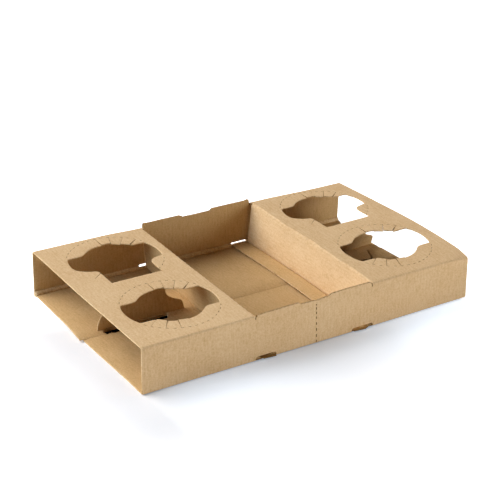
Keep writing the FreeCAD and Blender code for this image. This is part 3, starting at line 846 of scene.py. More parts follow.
@dataclass(frozen=True)
class Warp:
    """How the folded carrier has bent out of square, as measured in the photograph.

    Each amount is the most that a part has moved, in millimetres.
    """

    right_bulge: float = 1.3
    open_end_bulge: float = 1.9
    left_bulge: float = 0.25
    corner_droop: float = 1.6
    corner_push: float = 0.7
    corner_reach: float = 9.0
    far_left_out: float = 1.8
    right_end_out: float = 0.9
    far_left_rise: float = 1.8
    far_left_fade: float = 1.1
    foot_out: float = 1.3
    hole_shift: float = 0.8

    def bend(self, points: np.ndarray, size: Sizes) -> np.ndarray:
        """Bends the folded carrier.

        Args:
            points: Folded points in millimetres.
            size: Sizes of the folded carrier.

        Returns:
            The same points after the bend.
        """
        x, y, z = points[:, 0], points[:, 1], points[:, 2]
        share = np.clip(z / size.height, 0.0, 1.2)
        corner = bump(size.length - x, self.corner_reach) * bump(y, self.corner_reach) * share ** 3
        new_x = x + self.lengthwise(x, y, z, size) + self.crease_waves(x, y, share, size)
        new_y = y + self.corner_push * corner + self.crosswise(x, y, z, size)
        new_z = z + self.upward(x, y, z, size) - self.corner_droop * corner
        return np.column_stack([new_x, new_y, new_z])

    def lengthwise(self, x: np.ndarray, y: np.ndarray, z: np.ndarray, size: Sizes) -> np.ndarray:
        """How far the points move along the sleeve: its ends and the deck edges beside the tray."""
        across = np.clip(y / size.width, 0.0, 1.0)
        level = np.clip(z / size.height, 0.0, 1.0)
        far_end = np.maximum(across * smooth(2.0 * level - 0.5), rising(y, 175.0, 3.0))
        shift = -self.far_left_out * far_end * smooth(1.0 - x / 40.0)
        shift += level ** 2 * rising(x, 40.0, 45.0) * falling(x, 150.0, 30.0) * (1.8 * across - 1.2)
        shift += level ** 2 * rising(x, 150.0, 30.0) * falling(x, 250.0, 40.0) * (across - 1.0)
        shift += (self.right_end_out * rising(x, 280.0, 20.0) * falling(y, 120.0, 60.0)
                  * (1.0 + 0.6 * (1.0 - level)))
        return shift

    def crosswise(self, x: np.ndarray, y: np.ndarray, z: np.ndarray, size: Sizes) -> np.ndarray:
        """How far the points move towards the far wall: the near foot, the right hole and wavy walls."""
        level = np.clip(z / size.height, 0.0, 1.0)
        foot = (1.0 - level) * falling(y, 9.0, 9.0) * (1.0 - 0.6 * rising(x, 200.0, 100.0))
        hole = rising(x, 200.0, 7.0) * level ** 4 * bump(y - 50.0, 45.0)
        belly = np.sin(np.pi * level)
        near_wall = bump(y, 4.0) * belly * (0.45 * np.sin(x / 47.0 + 0.6) + 0.2)
        far_wall = bump(size.width - y, 4.0) * belly * (0.4 * np.sin(x / 39.0 + 2.0) - 0.2)
        return -self.foot_out * foot + self.hole_shift * hole + near_wall + far_wall

    def upward(self, x: np.ndarray, y: np.ndarray, z: np.ndarray, size: Sizes) -> np.ndarray:
        """How far the points rise: the bulge of both decks and the far edges."""
        share = np.clip(z / size.height, 0.0, 1.2)
        level = np.clip(z / size.height, 0.0, 1.0)
        across = np.clip(y / size.width, 0.0, 1.0)
        # The bulge is highest nearer to the near wall than to the far one.
        crown = np.sin(np.pi * across ** 0.8)
        right = np.clip((x - (size.length - size.deck)) / size.deck, 0.0, 1.0)
        bulge = rising(x, 200.0, 7.0) * share * crown * (self.right_bulge + self.open_end_bulge * right)
        bulge = bulge + falling(x, size.deck + 6.0, 6.0) * share * crown * self.left_bulge
        far_left = ((self.far_left_rise - self.far_left_fade * rising(x, 60.0, 38.0))
                    * falling(x, 106.0, 8.0) * rising(y, 90.0, 85.0))
        far_right = rising(x, 200.0, 6.0) * falling(x, 280.0, 60.0) * rising(y, 120.0, 55.0)
        return bulge + level ** 2 * (far_left + far_right)

    def crease_waves(self, x: np.ndarray, y: np.ndarray, share: np.ndarray, size: Sizes) -> np.ndarray:
        """How unevenly the crease along the right deck's edge runs."""
        crease = bump(x - size.length + size.deck, 5.0) * share ** 4
        return crease * (0.45 * np.sin(y / 11.0) + 0.3 * np.sin(y / 4.3 + 1.0))


WARP = Warp()


def bent(points: np.ndarray) -> np.ndarray:
    """Gives folded points the carrier's own warp."""
    return WARP.bend(points, SIZES)


@dataclass(frozen=True)
class Look:
    """Colours of one liner or cut edge of the board, as sRGB hex."""

    name: str
    base: str
    pale: str
    dark: str
    roughness: float


def linear(text: str) -> tuple[float, float, float, float]:
    """Turns an sRGB hex colour into linear light.

    Args:
        text: Six hex digits with a leading hash.

    Returns:
        Red, green, blue and 1.
    """
    parts = [int(text[k:k + 2], 16) / 255.0 for k in (1, 3, 5)]
    lit = [v / 12.92 if v <= 0.04045 else ((v + 0.055) / 1.055) ** 2.4 for v in parts]
    return (lit[0], lit[1], lit[2], 1.0)


MATH = "ShaderNodeMath"
MAP_RANGE = "ShaderNodeMapRange"
COMBINE = "ShaderNodeCombineXYZ"
SEPARATE = "ShaderNodeSeparateXYZ"
NOISE = "ShaderNodeTexNoise"
MULTIPLY_ADD = "MULTIPLY_ADD"


def add_node(tree: bpy.types.NodeTree, kind: str, settings: dict[str, object] | None = None,
             links: dict[object, bpy.types.NodeSocket] | None = None) -> bpy.types.Node:
    """Adds a node with its settings and links.

    Args:
        tree: The node tree.
        kind: Blender's name of the node type.
        settings: Node properties by name, or input values by socket name or number after an "=".
        links: Sockets to link from, by input name or number.

    Returns:
        The new node.
    """
    node = tree.nodes.new(kind)
    for key, value in (settings or {}).items():
        if isinstance(key, int):
            node.inputs[key].default_value = value
        elif key.startswith("="):
            node.inputs[key[1:]].default_value = value
        else:
            setattr(node, key, value)
    for key, source in (links or {}).items():
        tree.links.new(source, node.inputs[key])
    return node


KRAFT_OUTER = Look("kraft liner outside", "#DEBC8E", "#E9CCA0", "#CDA775", 0.88)
KRAFT_INNER = Look("kraft liner inside", "#CCAA77", "#D8B889", "#B99662", 0.92)
KRAFT_EDGE = Look("cut corrugated edge", "#E0C192", "#EBD3AC", "#C29C66", 0.95)
# Dark brown painted shade for knife cuts, slots and the tongues in them.
KRAFT_CUT_SHADE = Look("knife cut in painted shade", "#8A6634", "#9A7643", "#735120", 0.98)
FLUTING = Look("fluting medium", "#A8824F", "#B9935F", "#8F6B3B", 0.97)


@dataclass(frozen=True)
class Pattern:
    """How much each pattern moves the paper's colour from its dark tone to its pale one."""

    stripes: float = 0.014
    cloud: float = 0.22
    fleck: float = 0.65
    grain: float = 0.3
    # Brings the mean of the patterns back to the base colour.
    offset: float = -0.085


PATTERN = Pattern()


def kraft(look: Look) -> bpy.types.Material:
    """Uncoated kraft paper liner, drum dried: matt, with fibre flecks and washboard lines.

    Args:
        look: Colours and roughness.

    Returns:
        The material.
    """
    material = bpy.data.materials.new(look.name)
    material.use_nodes = True
    tree = material.node_tree
    tree.nodes.clear()
    blank = add_node(tree, "ShaderNodeUVMap", {"uv_map": "blank"})
    split = add_node(tree, SEPARATE, links={0: blank.outputs["UV"]})
    # Flutes every 3.56 mm show as soft stripes.
    turns = 2.0 * math.pi / (BOARD.flute_pitch * MM)
    phase = add_node(tree, MATH, {"operation": "MULTIPLY", 1: turns},
                     {0: split.outputs["X"]})
    stripes = add_node(tree, MATH, {"operation": "SINE"}, {0: phase.outputs[0]})
    position = add_node(tree, "ShaderNodeTexCoord")
    # Cloudy formation of the paper, patches about 25 mm across.
    cloud = add_node(tree, NOISE, {"=Scale": 40.0, "=Detail": 3.0, "=Roughness": 0.55},
                     {"Vector": position.outputs["Object"]})
    # Fibre flecks are about 0.5 mm across, drawn 1.4 mm across so that they show.
    fleck = add_node(tree, NOISE, {"=Scale": 720.0, "=Detail": 3.0, "=Roughness": 0.7},
                     {"Vector": position.outputs["Object"]})
    # Drying marks and long fibres run with the flutes: 1.4 mm by 9 mm.
    grain_map = add_node(tree, "ShaderNodeMapping", {"=Scale": (700.0, 110.0, 1.0)},
                         {"Vector": blank.outputs["UV"]})
    grain = add_node(tree, NOISE, {"=Scale": 1.0, "=Detail": 2.0}, {"Vector": grain_map.outputs[0]})
    tone = add_node(tree, MATH, {"operation": MULTIPLY_ADD, 1: PATTERN.stripes, 2: PATTERN.offset},
                    {0: stripes.outputs[0]})
    for noise, weight in ((cloud, PATTERN.cloud), (fleck, PATTERN.fleck), (grain, PATTERN.grain)):
        tone = add_node(tree, MATH, {"operation": MULTIPLY_ADD, 1: weight},
                        {0: noise.outputs["Fac"], 2: tone.outputs[0]})
    ramp = add_node(tree, "ShaderNodeValToRGB", links={0: tone.outputs[0]})
    elements = ramp.color_ramp.elements
    elements[0].position, elements[0].color = 0.3, linear(look.dark)
    elements[1].position, elements[1].color = 0.7, linear(look.pale)
    middle = elements.new(0.5)
    middle.color = linear(look.base)
    height = add_node(tree, MATH, {"operation": MULTIPLY_ADD, 1: 0.5},
                      {0: fleck.outputs["Fac"], 2: grain.outputs["Fac"]})
    relief = add_node(tree, "ShaderNodeBump", {"=Strength": 0.25, "=Distance": 0.06 * MM},
                      {"Height": height.outputs[0]})
    shader = add_node(tree, "ShaderNodeBsdfPrincipled",
                      {"=Roughness": look.roughness, "=Specular IOR Level": 0.25},
                      {"Base Color": ramp.outputs["Color"], "Normal": relief.outputs["Normal"]})
    add_node(tree, "ShaderNodeOutputMaterial", links={"Surface": shader.outputs[0]})
    return material


class CarrierModel:
    """Builds the folded sheet of the carrier and its finish."""

    def __init__(self, sizes: Sizes) -> None:
        """Prepares the strip, the cup hole, the fin and the tear line.

        Args:
            sizes: Sizes of the folded carrier.
        """
        self.sizes = sizes
        self.sleeve = Sleeve(sizes)
        self.hole = CupHole()
        self.fin = Fin()
        self.tear = TearLine()
        # Left end of each deck.
        self.starts = (0.0, sizes.length - sizes.deck)
        self.sheet = SheetMesh()

    def columns(self, first: float, last: float) -> np.ndarray:
        """Places across the flutes, four to a flute."""
        step = BOARD.flute_pitch / 4.0
        return np.arange(math.ceil(first / step), math.floor(last / step) + 1) * step

    def near_profile(self) -> Ring:
        """Top edge of the near wall along the tray, from the left relief cut to the right one."""
        return [
            (98.35, 36.9), (99.6, 38.4), (112.0, 38.8), (136.7, 39.3), (138.1, 37.6), (150.0, 37.4),
            (152.2, 37.2), (153.0, 36.3), (153.8, 37.3), (164.6, 37.8), (166.8, 39.3), (186.0, 39.8),
            (205.4, 39.6), (206.65, 36.9),
        ]

    def far_profile(self) -> Ring:
        """Top edge of the far wall along the tray, from the left relief cut to the right one."""
        return [
            (98.35, 40.4), (98.9, 42.2), (116.0, 42.6), (135.0, 42.5), (137.2, 40.5), (151.0, 40.3),
            (165.3, 40.5), (167.4, 42.2), (190.0, 42.3), (205.2, 42.1), (206.65, 39.4),
        ]

    def cup_centre(self, start: float, place: float) -> np.ndarray:
        """Flat centre of a cup hole on the strip. The right deck's holes are cut a little to the left."""
        z_ = self.sizes
        shift = 0.0
        if start > 0.0:
            shift = z_.right_near_shift if place < z_.width / 2.0 else z_.right_far_shift
        return np.array([start + z_.cup_place + shift, self.sleeve.on_deck(place)])

    def stadium(self, first: float, last: float, low: float, high: float) -> Ring:
        """A slot with round ends, in a flat plane."""
        radius = (high - low) / 2.0
        level = (high + low) / 2.0
        right = arc((last - radius, level), radius, -90.0, 90.0, 7)
        return right + arc((first + radius, level), radius, 90.0, 270.0, 7)

    def build_sleeve(self) -> None:
        """Cuts and folds the strip of floor panels, walls and decks."""
        z_ = self.sizes
        strip = self.sleeve
        crease = z_.crease
        right_edge = z_.length - z_.deck
        outline = [
            (-1.1, 0.0), (z_.length - 1.6, 0.0), (z_.length - 1.2, strip.on_near_floor(70.0)),
            (z_.length, strip.on_near_floor(30.0)), (z_.length, strip.on_far_floor(z_.width - 6.0)),
            (z_.length - 3.0, strip.on_far_floor(z_.width - 12.0)),
            (z_.length - 4.6, strip.on_far_floor(110.0)),
            (z_.length - 5.0, strip.strip_end), (-4.4, strip.strip_end),
        ]
        left_edge = (
            (-4.0, 95.5), (-3.9, 100.0), (-3.6, 103.5), (-3.2, 106.5), (-3.1, 111.0), (-2.6, 117.0),
            (-2.4, 121.0), (-1.9, 130.0), (-1.5, 140.0), (-1.2, 150.0), (-1.1, 170.0), (-0.9, 176.5),
        )
        outline += [(x, strip.on_far_floor(y)) for x, y in left_edge]
        outline += [(-0.3, strip.far_wall_end), (0.0, strip.far_wall_end - 4.0), (0.0, strip.floor_end)]
        outline += [(x, strip.on_near_floor(y)) for x, y in ((0.1, 20.0), (-0.4, 50.0), (-0.9, 78.0))]
        near_top = [(x, strip.on_near_wall(z)) for x, z in self.near_profile()]
        far_top = [(x, strip.on_far_wall(z)) for x, z in self.far_profile()]
        near_line, far_line = strip.on_deck(z_.partition_near), strip.on_deck(z_.partition_far)
        near_cut, far_cut = strip.on_near_wall(z_.near_relief), strip.on_far_wall(z_.far_relief)
        tray = [
            (z_.deck - 0.7, near_cut + 0.4), (z_.deck - 0.2, near_cut - 0.2), (z_.deck + 0.3, near_cut),
        ] + near_top + [
            (right_edge - 0.3, near_cut), (right_edge + 0.2, near_cut - 0.2),
            (right_edge + 0.7, near_cut + 0.4), (right_edge + 0.1, near_cut + 2.2),
            (right_edge, near_line), (right_edge + crease, near_line), (right_edge + crease, far_line),
            (right_edge, far_line), (right_edge, far_cut), (right_edge - 0.3, far_cut),
        ] + far_top[::-1] + [
            (z_.deck + 0.3, far_cut), (z_.deck, far_cut), (z_.deck, far_line), (z_.deck - crease, far_line),
            (z_.deck - crease, near_line), (z_.deck, near_line), (z_.deck - 0.1, near_cut + 2.2),
        ]
        holes = [tray]
        for start in self.starts:
            holes += self.deck_cuts(start)
            holes += self.floor_cuts(start)
        holes += self.wall_cuts()
        # The blank is divided finely in its bends and on the bead, and once more beside each bend.
        marks = (2.0, strip.floor_end, strip.wall_start, strip.wall_end, strip.deck_start, strip.deck_end,
                 strip.far_wall_start, strip.far_wall_end, strip.far_floor_start, strip.strip_end - 2.0)
        counts = (14, 5, 8, 5, 30, 5, 8, 5, 14)
        stretches = [np.linspace(first, last, count) for first, last, count in zip(marks, marks[1:], counts)]
        beside = np.array([-1.5, -0.5, 0.5, 1.5])
        on_flats = [place + step for place, sign in zip(marks[1:-1], (-1, 1) * 4)
                    for step in beside if step * sign > 0]
        on_bead = np.arange(strip.bead_start - 0.5, strip.bead_end + 0.6, 0.5)
        rows = np.unique(np.concatenate([np.array(on_flats), on_bead, *stretches]).round(4))
        joined = [
            ((z_.deck - crease, near_line), (z_.deck - crease, far_line)),
            ((right_edge + crease, near_line), (right_edge + crease, far_line)),
        ]
        fin_line = strip.on_deck(z_.far_cup - self.fin.fold_place)
        for start in self.starts:
            middle = float(self.cup_centre(start, z_.far_cup)[0])
            joined.append(((middle - self.fin.half_fold, fin_line), (middle + self.fin.half_fold, fin_line)))
        # Knife cuts, slots and relief cuts get a painted shade on their cut edges.
        # The bead gets a painted highlight on its inner liner.
        self.sheet.add_panel(Panel("sleeve", outline, holes, self.columns(-5.0, z_.length), rows,
                                   self.fold_sleeve, joined=joined, shaded_cuts=self.sleeve_shaded_cuts,
                                   open_flutes=self.on_wall_tops, painted_highlight=self.on_bead))

    def fold_sleeve(self, flat: np.ndarray, depth: np.ndarray) -> np.ndarray:
        """Folds the strip and lifts the petals between the slits."""
        z_ = self.sizes
        lift, shut = np.zeros(len(flat)), np.zeros(flat.shape)
        for start in self.starts:
            for place, fin_side in ((z_.near_cup, False), (z_.far_cup, True)):
                local = flat - self.cup_centre(start, place)
                lift += self.hole.lift(local[:, 0], local[:, 1], fin_side)
                shut += self.hole.closed(local, depth) - local
        tear = self.on_tear_line(flat)
        share = 0.9 * below_liner(depth)
        shut[:, 0] -= share * tear * (flat[:, 0] - self.tear_x(flat))
        return self.sleeve.fold(flat + shut, depth - lift)

    def tear_x(self, flat: np.ndarray) -> np.ndarray:
        """Middle of the tear line at the level of each point of the strip."""
        return self.tear.place(flat[:, 1] - self.sleeve.on_near_wall(0.0))

    def on_tear_line(self, flat: np.ndarray) -> np.ndarray:
        """Tells which points of the strip belong to the dashes of the tear line."""
        level = flat[:, 1] - self.sleeve.on_near_wall(0.0)
        beside = np.abs(flat[:, 0] - self.tear_x(flat)) < self.tear.reach
        return beside & (level > self.tear.lowest) & (level < self.tear.highest)

    def sleeve_shaded_cuts(self, flat: np.ndarray) -> np.ndarray:
        """Tells which cut edges of the strip get a painted shade: slits, dashes, relief cuts and the slots at
        the foot of the near wall.
        """
        z_ = self.sizes
        found = self.on_tear_line(flat)
        for start in self.starts:
            for place in (z_.near_cup, z_.far_cup):
                found |= self.hole.is_knife_cut(flat - self.cup_centre(start, place))
        for place in (z_.deck, z_.length - z_.deck):
            found |= (np.abs(flat[:, 0] - place) < 1.0) & (flat[:, 1] < self.sleeve.deck_start + 0.4)
            found |= (np.abs(flat[:, 0] - place) < 1.0) & (flat[:, 1] > self.sleeve.deck_end - 3.0)
        found |= (flat[:, 1] > self.sleeve.on_near_wall(-1.5)) & (flat[:, 1] < self.sleeve.on_near_wall(3.2))
        return found

    def on_bead(self, flat: np.ndarray) -> np.ndarray:
        """Tells which points of the strip lie on the bead, whose inner liner gets a painted highlight."""
        return (flat[:, 1] > self.sleeve.bead_start + 0.7) & (flat[:, 1] < self.sleeve.bead_end - 0.7)

    def on_wall_tops(self, flat: np.ndarray) -> np.ndarray:
        """Tells which cut edges of the strip are the open flutes along the tray."""
        z_ = self.sizes
        between = (flat[:, 0] > z_.deck + 0.9) & (flat[:, 0] < z_.length - z_.deck - 0.9)
        near_level, far_level, reach = 38.6, 41.3, 2.6
        near = np.abs(flat[:, 1] - self.sleeve.on_near_wall(near_level)) < reach
        far = np.abs(flat[:, 1] - self.sleeve.on_far_wall(far_level)) < reach
        return between & (near | far)

    def deck_cuts(self, start: float) -> list[Ring]:
        """Holes, slits and dashes of one deck, on the strip.

        Args:
            start: Left end of the deck.

        Returns:
            Rings of corners.
        """
        z_ = self.sizes
        hole = self.hole
        x, near_y = self.cup_centre(start, z_.near_cup)
        far_x, far_y = self.cup_centre(start, z_.far_cup)
        near = notched(hole.whole(), hole.slits(), hole.ring)
        upper = [p for p in hole.upper() if p[1] >= 0.0]
        far = notched(upper + self.fin.opening(), hole.slits()[:5], hole.ring)
        rings = [[(x + a, near_y + b) for a, b in near], [(far_x + a, far_y + b) for a, b in far]]
        for first, last in ((27.0, 153.0), (207.0, 333.0)):
            rings += [[(x + a, near_y + b) for a, b in dash] for dash in hole.dashes(first, last)]
        for first, last in ((27.0, 153.0), (302.0, 338.0)):
            rings += [[(far_x + a, far_y + b) for a, b in dash] for dash in hole.dashes(first, last)]
        return rings

    def floor_cuts(self, start: float) -> list[Ring]:
        """The fin slot through both floor panels, with its slits.

        Args:
            start: Left end of the deck above.

        Returns:
            Rings of corners on the strip.
        """
        x = float(self.cup_centre(start, self.sizes.far_cup)[0])
        near, far = self.sleeve.on_near_floor, self.sleeve.on_far_floor
        slot = [(-34.8, 93.0), (-33.0, 90.6), (-28.5, 91.1), (-26.0, 89.6), (-20.0, 90.3), (12.0, 90.2),
                (20.6, 90.4), (22.4, 92.0), (23.2, 95.8), (10.0, 95.6), (-10.0, 95.9), (-24.0, 95.7),
                (-30.0, 96.2), (-33.6, 95.4)]
        slit = [(23.2, 93.5), (23.6, 108.4), (23.3, 108.4), (22.7, 93.5)]
        if start > 0.0:
            slit = [(23.9, 93.5), (30.5, 109.8), (29.3, 109.8), (22.7, 94.0)]
        rings = []
        for ring in (slot, slit):
            rings.append([(x + a, near(b)) for a, b in ring])
            rings.append([(x + a, far(b)) for a, b in ring])
        return rings

    def wall_cuts(self) -> list[Ring]:
        """Flange slots at the foot of both walls, and the tear line of the near wall."""
        near, far = self.sleeve.on_near_wall, self.sleeve.on_far_wall
        rings = []
        for first, last, low, high in self.sizes.near_slots:
            rings.append([(a, near(b)) for a, b in self.stadium(first, last, low, high)])
        for first, last, low, high in self.sizes.far_slots:
            rings.append([(a, far(b)) for a, b in self.stadium(first, last, low, high)])
        tear = self.tear
        for low, high in tear.dashes:
            x = tear.place((low + high) / 2.0)
            rings.append([
                (x - tear.low_half_width, near(low)), (x + tear.low_half_width, near(low)),
                (x + tear.high_half_width, near(high)), (x - tear.high_half_width, near(high)),
            ])
        return rings

    def build_partition(self, right: bool) -> None:
        """Folds one partition down from its deck, with its flange on the floor.

        Args:
            right: Whether it is the right partition.
        """
        z_ = self.sizes
        crease = z_.crease
        top_arc = math.pi / 2.0 * crease
        foot_z = 2.0 * BOARD.thickness + 0.6
        drop = z_.height - crease - foot_z
        lean = z_.partition_lean
        slope = math.hypot(drop, lean)
        panel_end = top_arc + slope
        flange_end = panel_end + z_.flange
        mirror = -1.0 if right else 1.0
        edge = z_.length - z_.deck if right else z_.deck

        def fold(flat: np.ndarray, depth: np.ndarray) -> np.ndarray:
            """Folds flat points, across the sleeve and down the partition."""
            y, t = flat[:, 0], flat[:, 1]
            on_arc = t < top_arc
            angle = np.pi / 2.0 - t / crease
            nx = np.where(on_arc, np.cos(angle), 1.0)
            nz = np.where(on_arc, np.sin(angle), 0.0)
            out = np.where(on_arc, -crease + crease * np.cos(angle), 0.0)
            z = np.where(on_arc, z_.height - crease + crease * np.sin(angle), 0.0)
            on_panel = (t >= top_arc) & (t < panel_end)
            share = np.clip((t - top_arc) / slope, 0.0, 1.0)
            out = np.where(on_panel, lean * share, out)
            z = np.where(on_panel, z_.height - crease - drop * share, z)
            tilt = math.atan2(lean, drop)
            nx = np.where(on_panel, math.cos(tilt), nx)
            nz = np.where(on_panel, math.sin(tilt), nz)
            on_flange = t >= panel_end
            level = self.flange_level(y) + BOARD.thickness
            out = np.where(on_flange, lean + t - panel_end, out)
            turn = rising(t, panel_end, 1.6)
            z = np.where(on_flange, foot_z + (level - foot_z) * turn, z)
            nx = np.where(on_flange, 0.0, nx)
            nz = np.where(on_flange, 1.0, nz)
            wave = washboard(t - top_arc, y)
            # The foot is scored, so its outer liner sinks in along the fold.
            wave = wave - BOARD.score_depth * bump(t - panel_end, 0.8) * (1.0 - depth / BOARD.thickness)
            # The tongue that goes through the wall slot is pressed thin.
            tongue = falling(y, 4.0, 4.0)
            tilt = mirror * 0.07 * (panel_end + 8.0 - t) * tongue
            depth = depth * (1.0 - 0.15 * tongue) + 0.15 * BOARD.thickness * tongue * on_flange
            # The panel and its flange share one line on both liners along the foot.
            blend = bump(t - panel_end, 0.9) * (t < flange_end)
            nx_m = nx * (1.0 - blend) + blend * 0.72
            nz_m = nz * (1.0 - blend) + blend * 0.72
            shift = wave - depth
            x = edge + mirror * (out + nx_m * shift)
            return bent(np.column_stack([x, y, z + tilt * on_flange + nz_m * shift]))

        low, high = z_.partition_near, z_.partition_far
        tip_low, tip_high = -0.8, z_.width - BOARD.thickness + 0.6
        outline = [
            (low, 0.0), (high, 0.0), (high, panel_end - 0.5), (high + 0.4, panel_end + 1.0),
            (tip_high, panel_end + 1.2), (tip_high, flange_end - 2.2),
            (high + 0.5, flange_end - 1.6), (high - 1.0, flange_end),
        ]
        for place, reach in ((154.0, 0.9), (108.0, 0.7), (79.0, 0.8)):
            outline += [(place + 1.4, flange_end), (place + 0.7, flange_end + reach),
                        (place - 0.6, flange_end + reach * 0.8), (place - 1.2, flange_end)]
        outline += [
            (low + 1.5, flange_end), (low - 0.3, flange_end - 1.4), (tip_low, flange_end - 2.0),
            (tip_low, panel_end + 0.6), (low - 0.2, panel_end + 0.4), (low, panel_end - 0.8),
        ]
        rows = np.unique(np.concatenate([
            np.linspace(0.0, top_arc, 5), np.arange(top_arc, panel_end, BOARD.flute_pitch / 4.0),
            panel_end + np.array([-1.2, -0.6, 0.0, 0.5, 1.0, 1.6]),
            np.arange(panel_end + 2.0, flange_end, BOARD.flute_pitch / 4.0),
        ]).round(4))
        columns = np.concatenate([[low + 1.5, low + 3.0, low + 4.5], np.arange(low + 6.0, high, 6.0)])
        # The flange tongue near the wall slot gets a painted shade on its liners and cut edges.
        # The flange's outer liner takes the inner liner's darker colour, a painted shade.
        panel = Panel(f"{'right' if right else 'left'}_partition", outline, [], columns, rows, fold,
                      flutes=Flutes.ALONG_SECOND, joined=[((low, 0.0), (high, 0.0))],
                      shaded_cuts=lambda flat: (flat[:, 0] < 4.0) & (flat[:, 1] > panel_end),
                      painted_slot_shade=lambda flat: (flat[:, 0] < 7.0) & (flat[:, 1] > panel_end + 0.3),
                      painted_dim=lambda flat: flat[:, 1] > panel_end)
        before = len(self.sheet.faces)
        self.sheet.add_panel(panel)
        if not right:
            # Across then down runs clockwise seen from the tray here, so the faces are turned.
            for index in range(before, len(self.sheet.faces)):
                self.sheet.faces[index] = self.sheet.faces[index][::-1]

    def flange_level(self, y: np.ndarray) -> np.ndarray:
        """Underside of a flange above the table, along the sleeve's width."""
        places = [-1.0, 2.5, 9.0, 30.0, 75.0, 118.0, 150.0, 168.0, 177.0, 180.0]
        levels = [0.05, 0.05, 1.65, 2.8, 3.9, 3.8, 2.9, 2.2, 1.62, 1.62]
        return np.interp(y, places, levels)

    def build_fin(self, start: float) -> None:
        """Folds the flap between the cups down to the floor.

        Args:
            start: Left end of its deck.
        """
        z_ = self.sizes
        fin = self.fin
        x0 = float(self.cup_centre(start, z_.far_cup)[0])
        y0 = z_.far_cup - fin.fold_place
        lean = math.asin((fin.right_lean if start > 0.0 else fin.left_lean) / fin.reach)
        stretch = fin.right_stretch if start > 0.0 else 1.0
        radius = 1.5
        sweep = math.pi / 2.0 + lean
        bend_length = radius * sweep

        def fold(flat: np.ndarray, depth: np.ndarray) -> np.ndarray:
            """Folds flat points, across the fin and down it, about its rounded hinge."""
            across, down = flat[:, 0], flat[:, 1]
            turned = np.clip(down / bend_length, 0.0, 1.0) * sweep
            along = np.maximum(down - bend_length, 0.0) * stretch
            # The outer liner is on the outside of the bend, towards the far wall.
            ny, nz = np.sin(turned), np.cos(turned)
            ty, tz = np.cos(turned), -np.sin(turned)
            y = y0 + radius * ny + along * ty
            z = z_.height - radius + radius * nz + along * tz
            wave = washboard(x0 + across, down)
            shift = wave - depth
            return bent(np.column_stack([x0 + across, y + ny * shift, z + nz * shift]))

        outline = fin.flap()
        if start > 0.0:
            outline = [(a, d - fin.right_trim * float(rising(a, 23.5, 3.0) * falling(d, fin.reach, 5.0)))
                       for a, d in outline]
        below = np.arange(bend_length + 3.0, fin.reach, 4.0)
        rows = np.concatenate([np.linspace(0.0, bend_length, 6), below])
        columns = self.columns(x0 - 41.0, x0 + 41.0) - x0
        before = len(self.sheet.faces)
        # The cut edge at the fin's foot gets a painted shade.
        self.sheet.add_panel(Panel("fin", outline, [], columns, rows, fold,
                                   joined=[((-fin.half_fold, 0.0), (fin.half_fold, 0.0))],
                                   shaded_cuts=lambda flat: flat[:, 1] > fin.reach - 1.0))
        LOG.info("fin at %.0f mm has %d faces", x0, len(self.sheet.faces) - before)

    def flute_places(self) -> np.ndarray:
        """Tops of the open flutes in the wall edges along the tray, one for each flute, in metres."""
        z_ = self.sizes
        places = []
        for profile, on_wall in ((self.near_profile(), self.sleeve.on_near_wall),
                                 (self.far_profile(), self.sleeve.on_far_wall)):
            xs, levels = zip(*profile)
            first = math.ceil((z_.deck + 2.6) / BOARD.flute_pitch)
            last = math.floor((z_.length - z_.deck - 2.6) / BOARD.flute_pitch)
            for number in range(first, last + 1):
                x = number * BOARD.flute_pitch
                places.append((x, on_wall(float(np.interp(x, xs, levels)) - 0.25)))
        flat = np.array(places)
        return (self.sleeve.fold(flat, np.full(len(flat), BOARD.thickness / 2.0)) - FRAME_ORIGIN) * MM

    def build_fluting(self) -> bpy.types.Object:
        """Sets one arch of the fluting medium on each flute of the open wall edges.

        Returns:
            The finished object.
        """
        mesh = bpy.data.meshes.new("fluting")
        mesh.from_pydata([tuple(p) for p in self.flute_places()], [], [])
        thing = bpy.data.objects.new("fluting", mesh)
        bpy.context.scene.collection.objects.link(thing)
        tree = FlutingTree().build()
        modifier = thing.modifiers.new("fluting", "NODES")
        modifier.node_group = tree
        paper = 0.2
        values = {"Flute pitch": BOARD.flute_pitch * MM, "Paper": paper * MM, "Depth": 2.4 * MM,
                  "Rise": ((BOARD.thickness - 2.0 * BOARD.liner - paper) / 2.0 - BOARD.open_drop) * MM}
        for item in tree.interface.items_tree:
            if item.item_type == "SOCKET" and item.in_out == "INPUT" and item.name in values:
                modifier[item.identifier] = values[item.name]
        graph = bpy.context.evaluated_depsgraph_get()
        result = bpy.data.meshes.new_from_object(thing.evaluated_get(graph))
        thing.modifiers.clear()
        thing.data = result
        LOG.info("fluting: %d faces", len(result.polygons))
        return thing

    def build(self) -> bpy.types.Object:
        """Builds the whole sheet.

        Returns:
            The finished object.
        """
        self.build_sleeve()
        LOG.info("sleeve: %d faces", len(self.sheet.faces))
        for right in (False, True):
            self.build_partition(right)
        for start in self.starts:
            self.build_fin(start)
        thing = self.sheet.make("folded_carrier")
        for look in (KRAFT_OUTER, KRAFT_INNER, KRAFT_EDGE, KRAFT_CUT_SHADE):
            thing.data.materials.append(kraft(look))
        thing.data.polygons.foreach_set("use_smooth", [True] * len(thing.data.polygons))
        thing.data.set_sharp_from_angle(angle=math.radians(38.0))
        LOG.info("folded carrier: %d vertices, %d faces", len(thing.data.vertices), len(thing.data.polygons))
        return thing


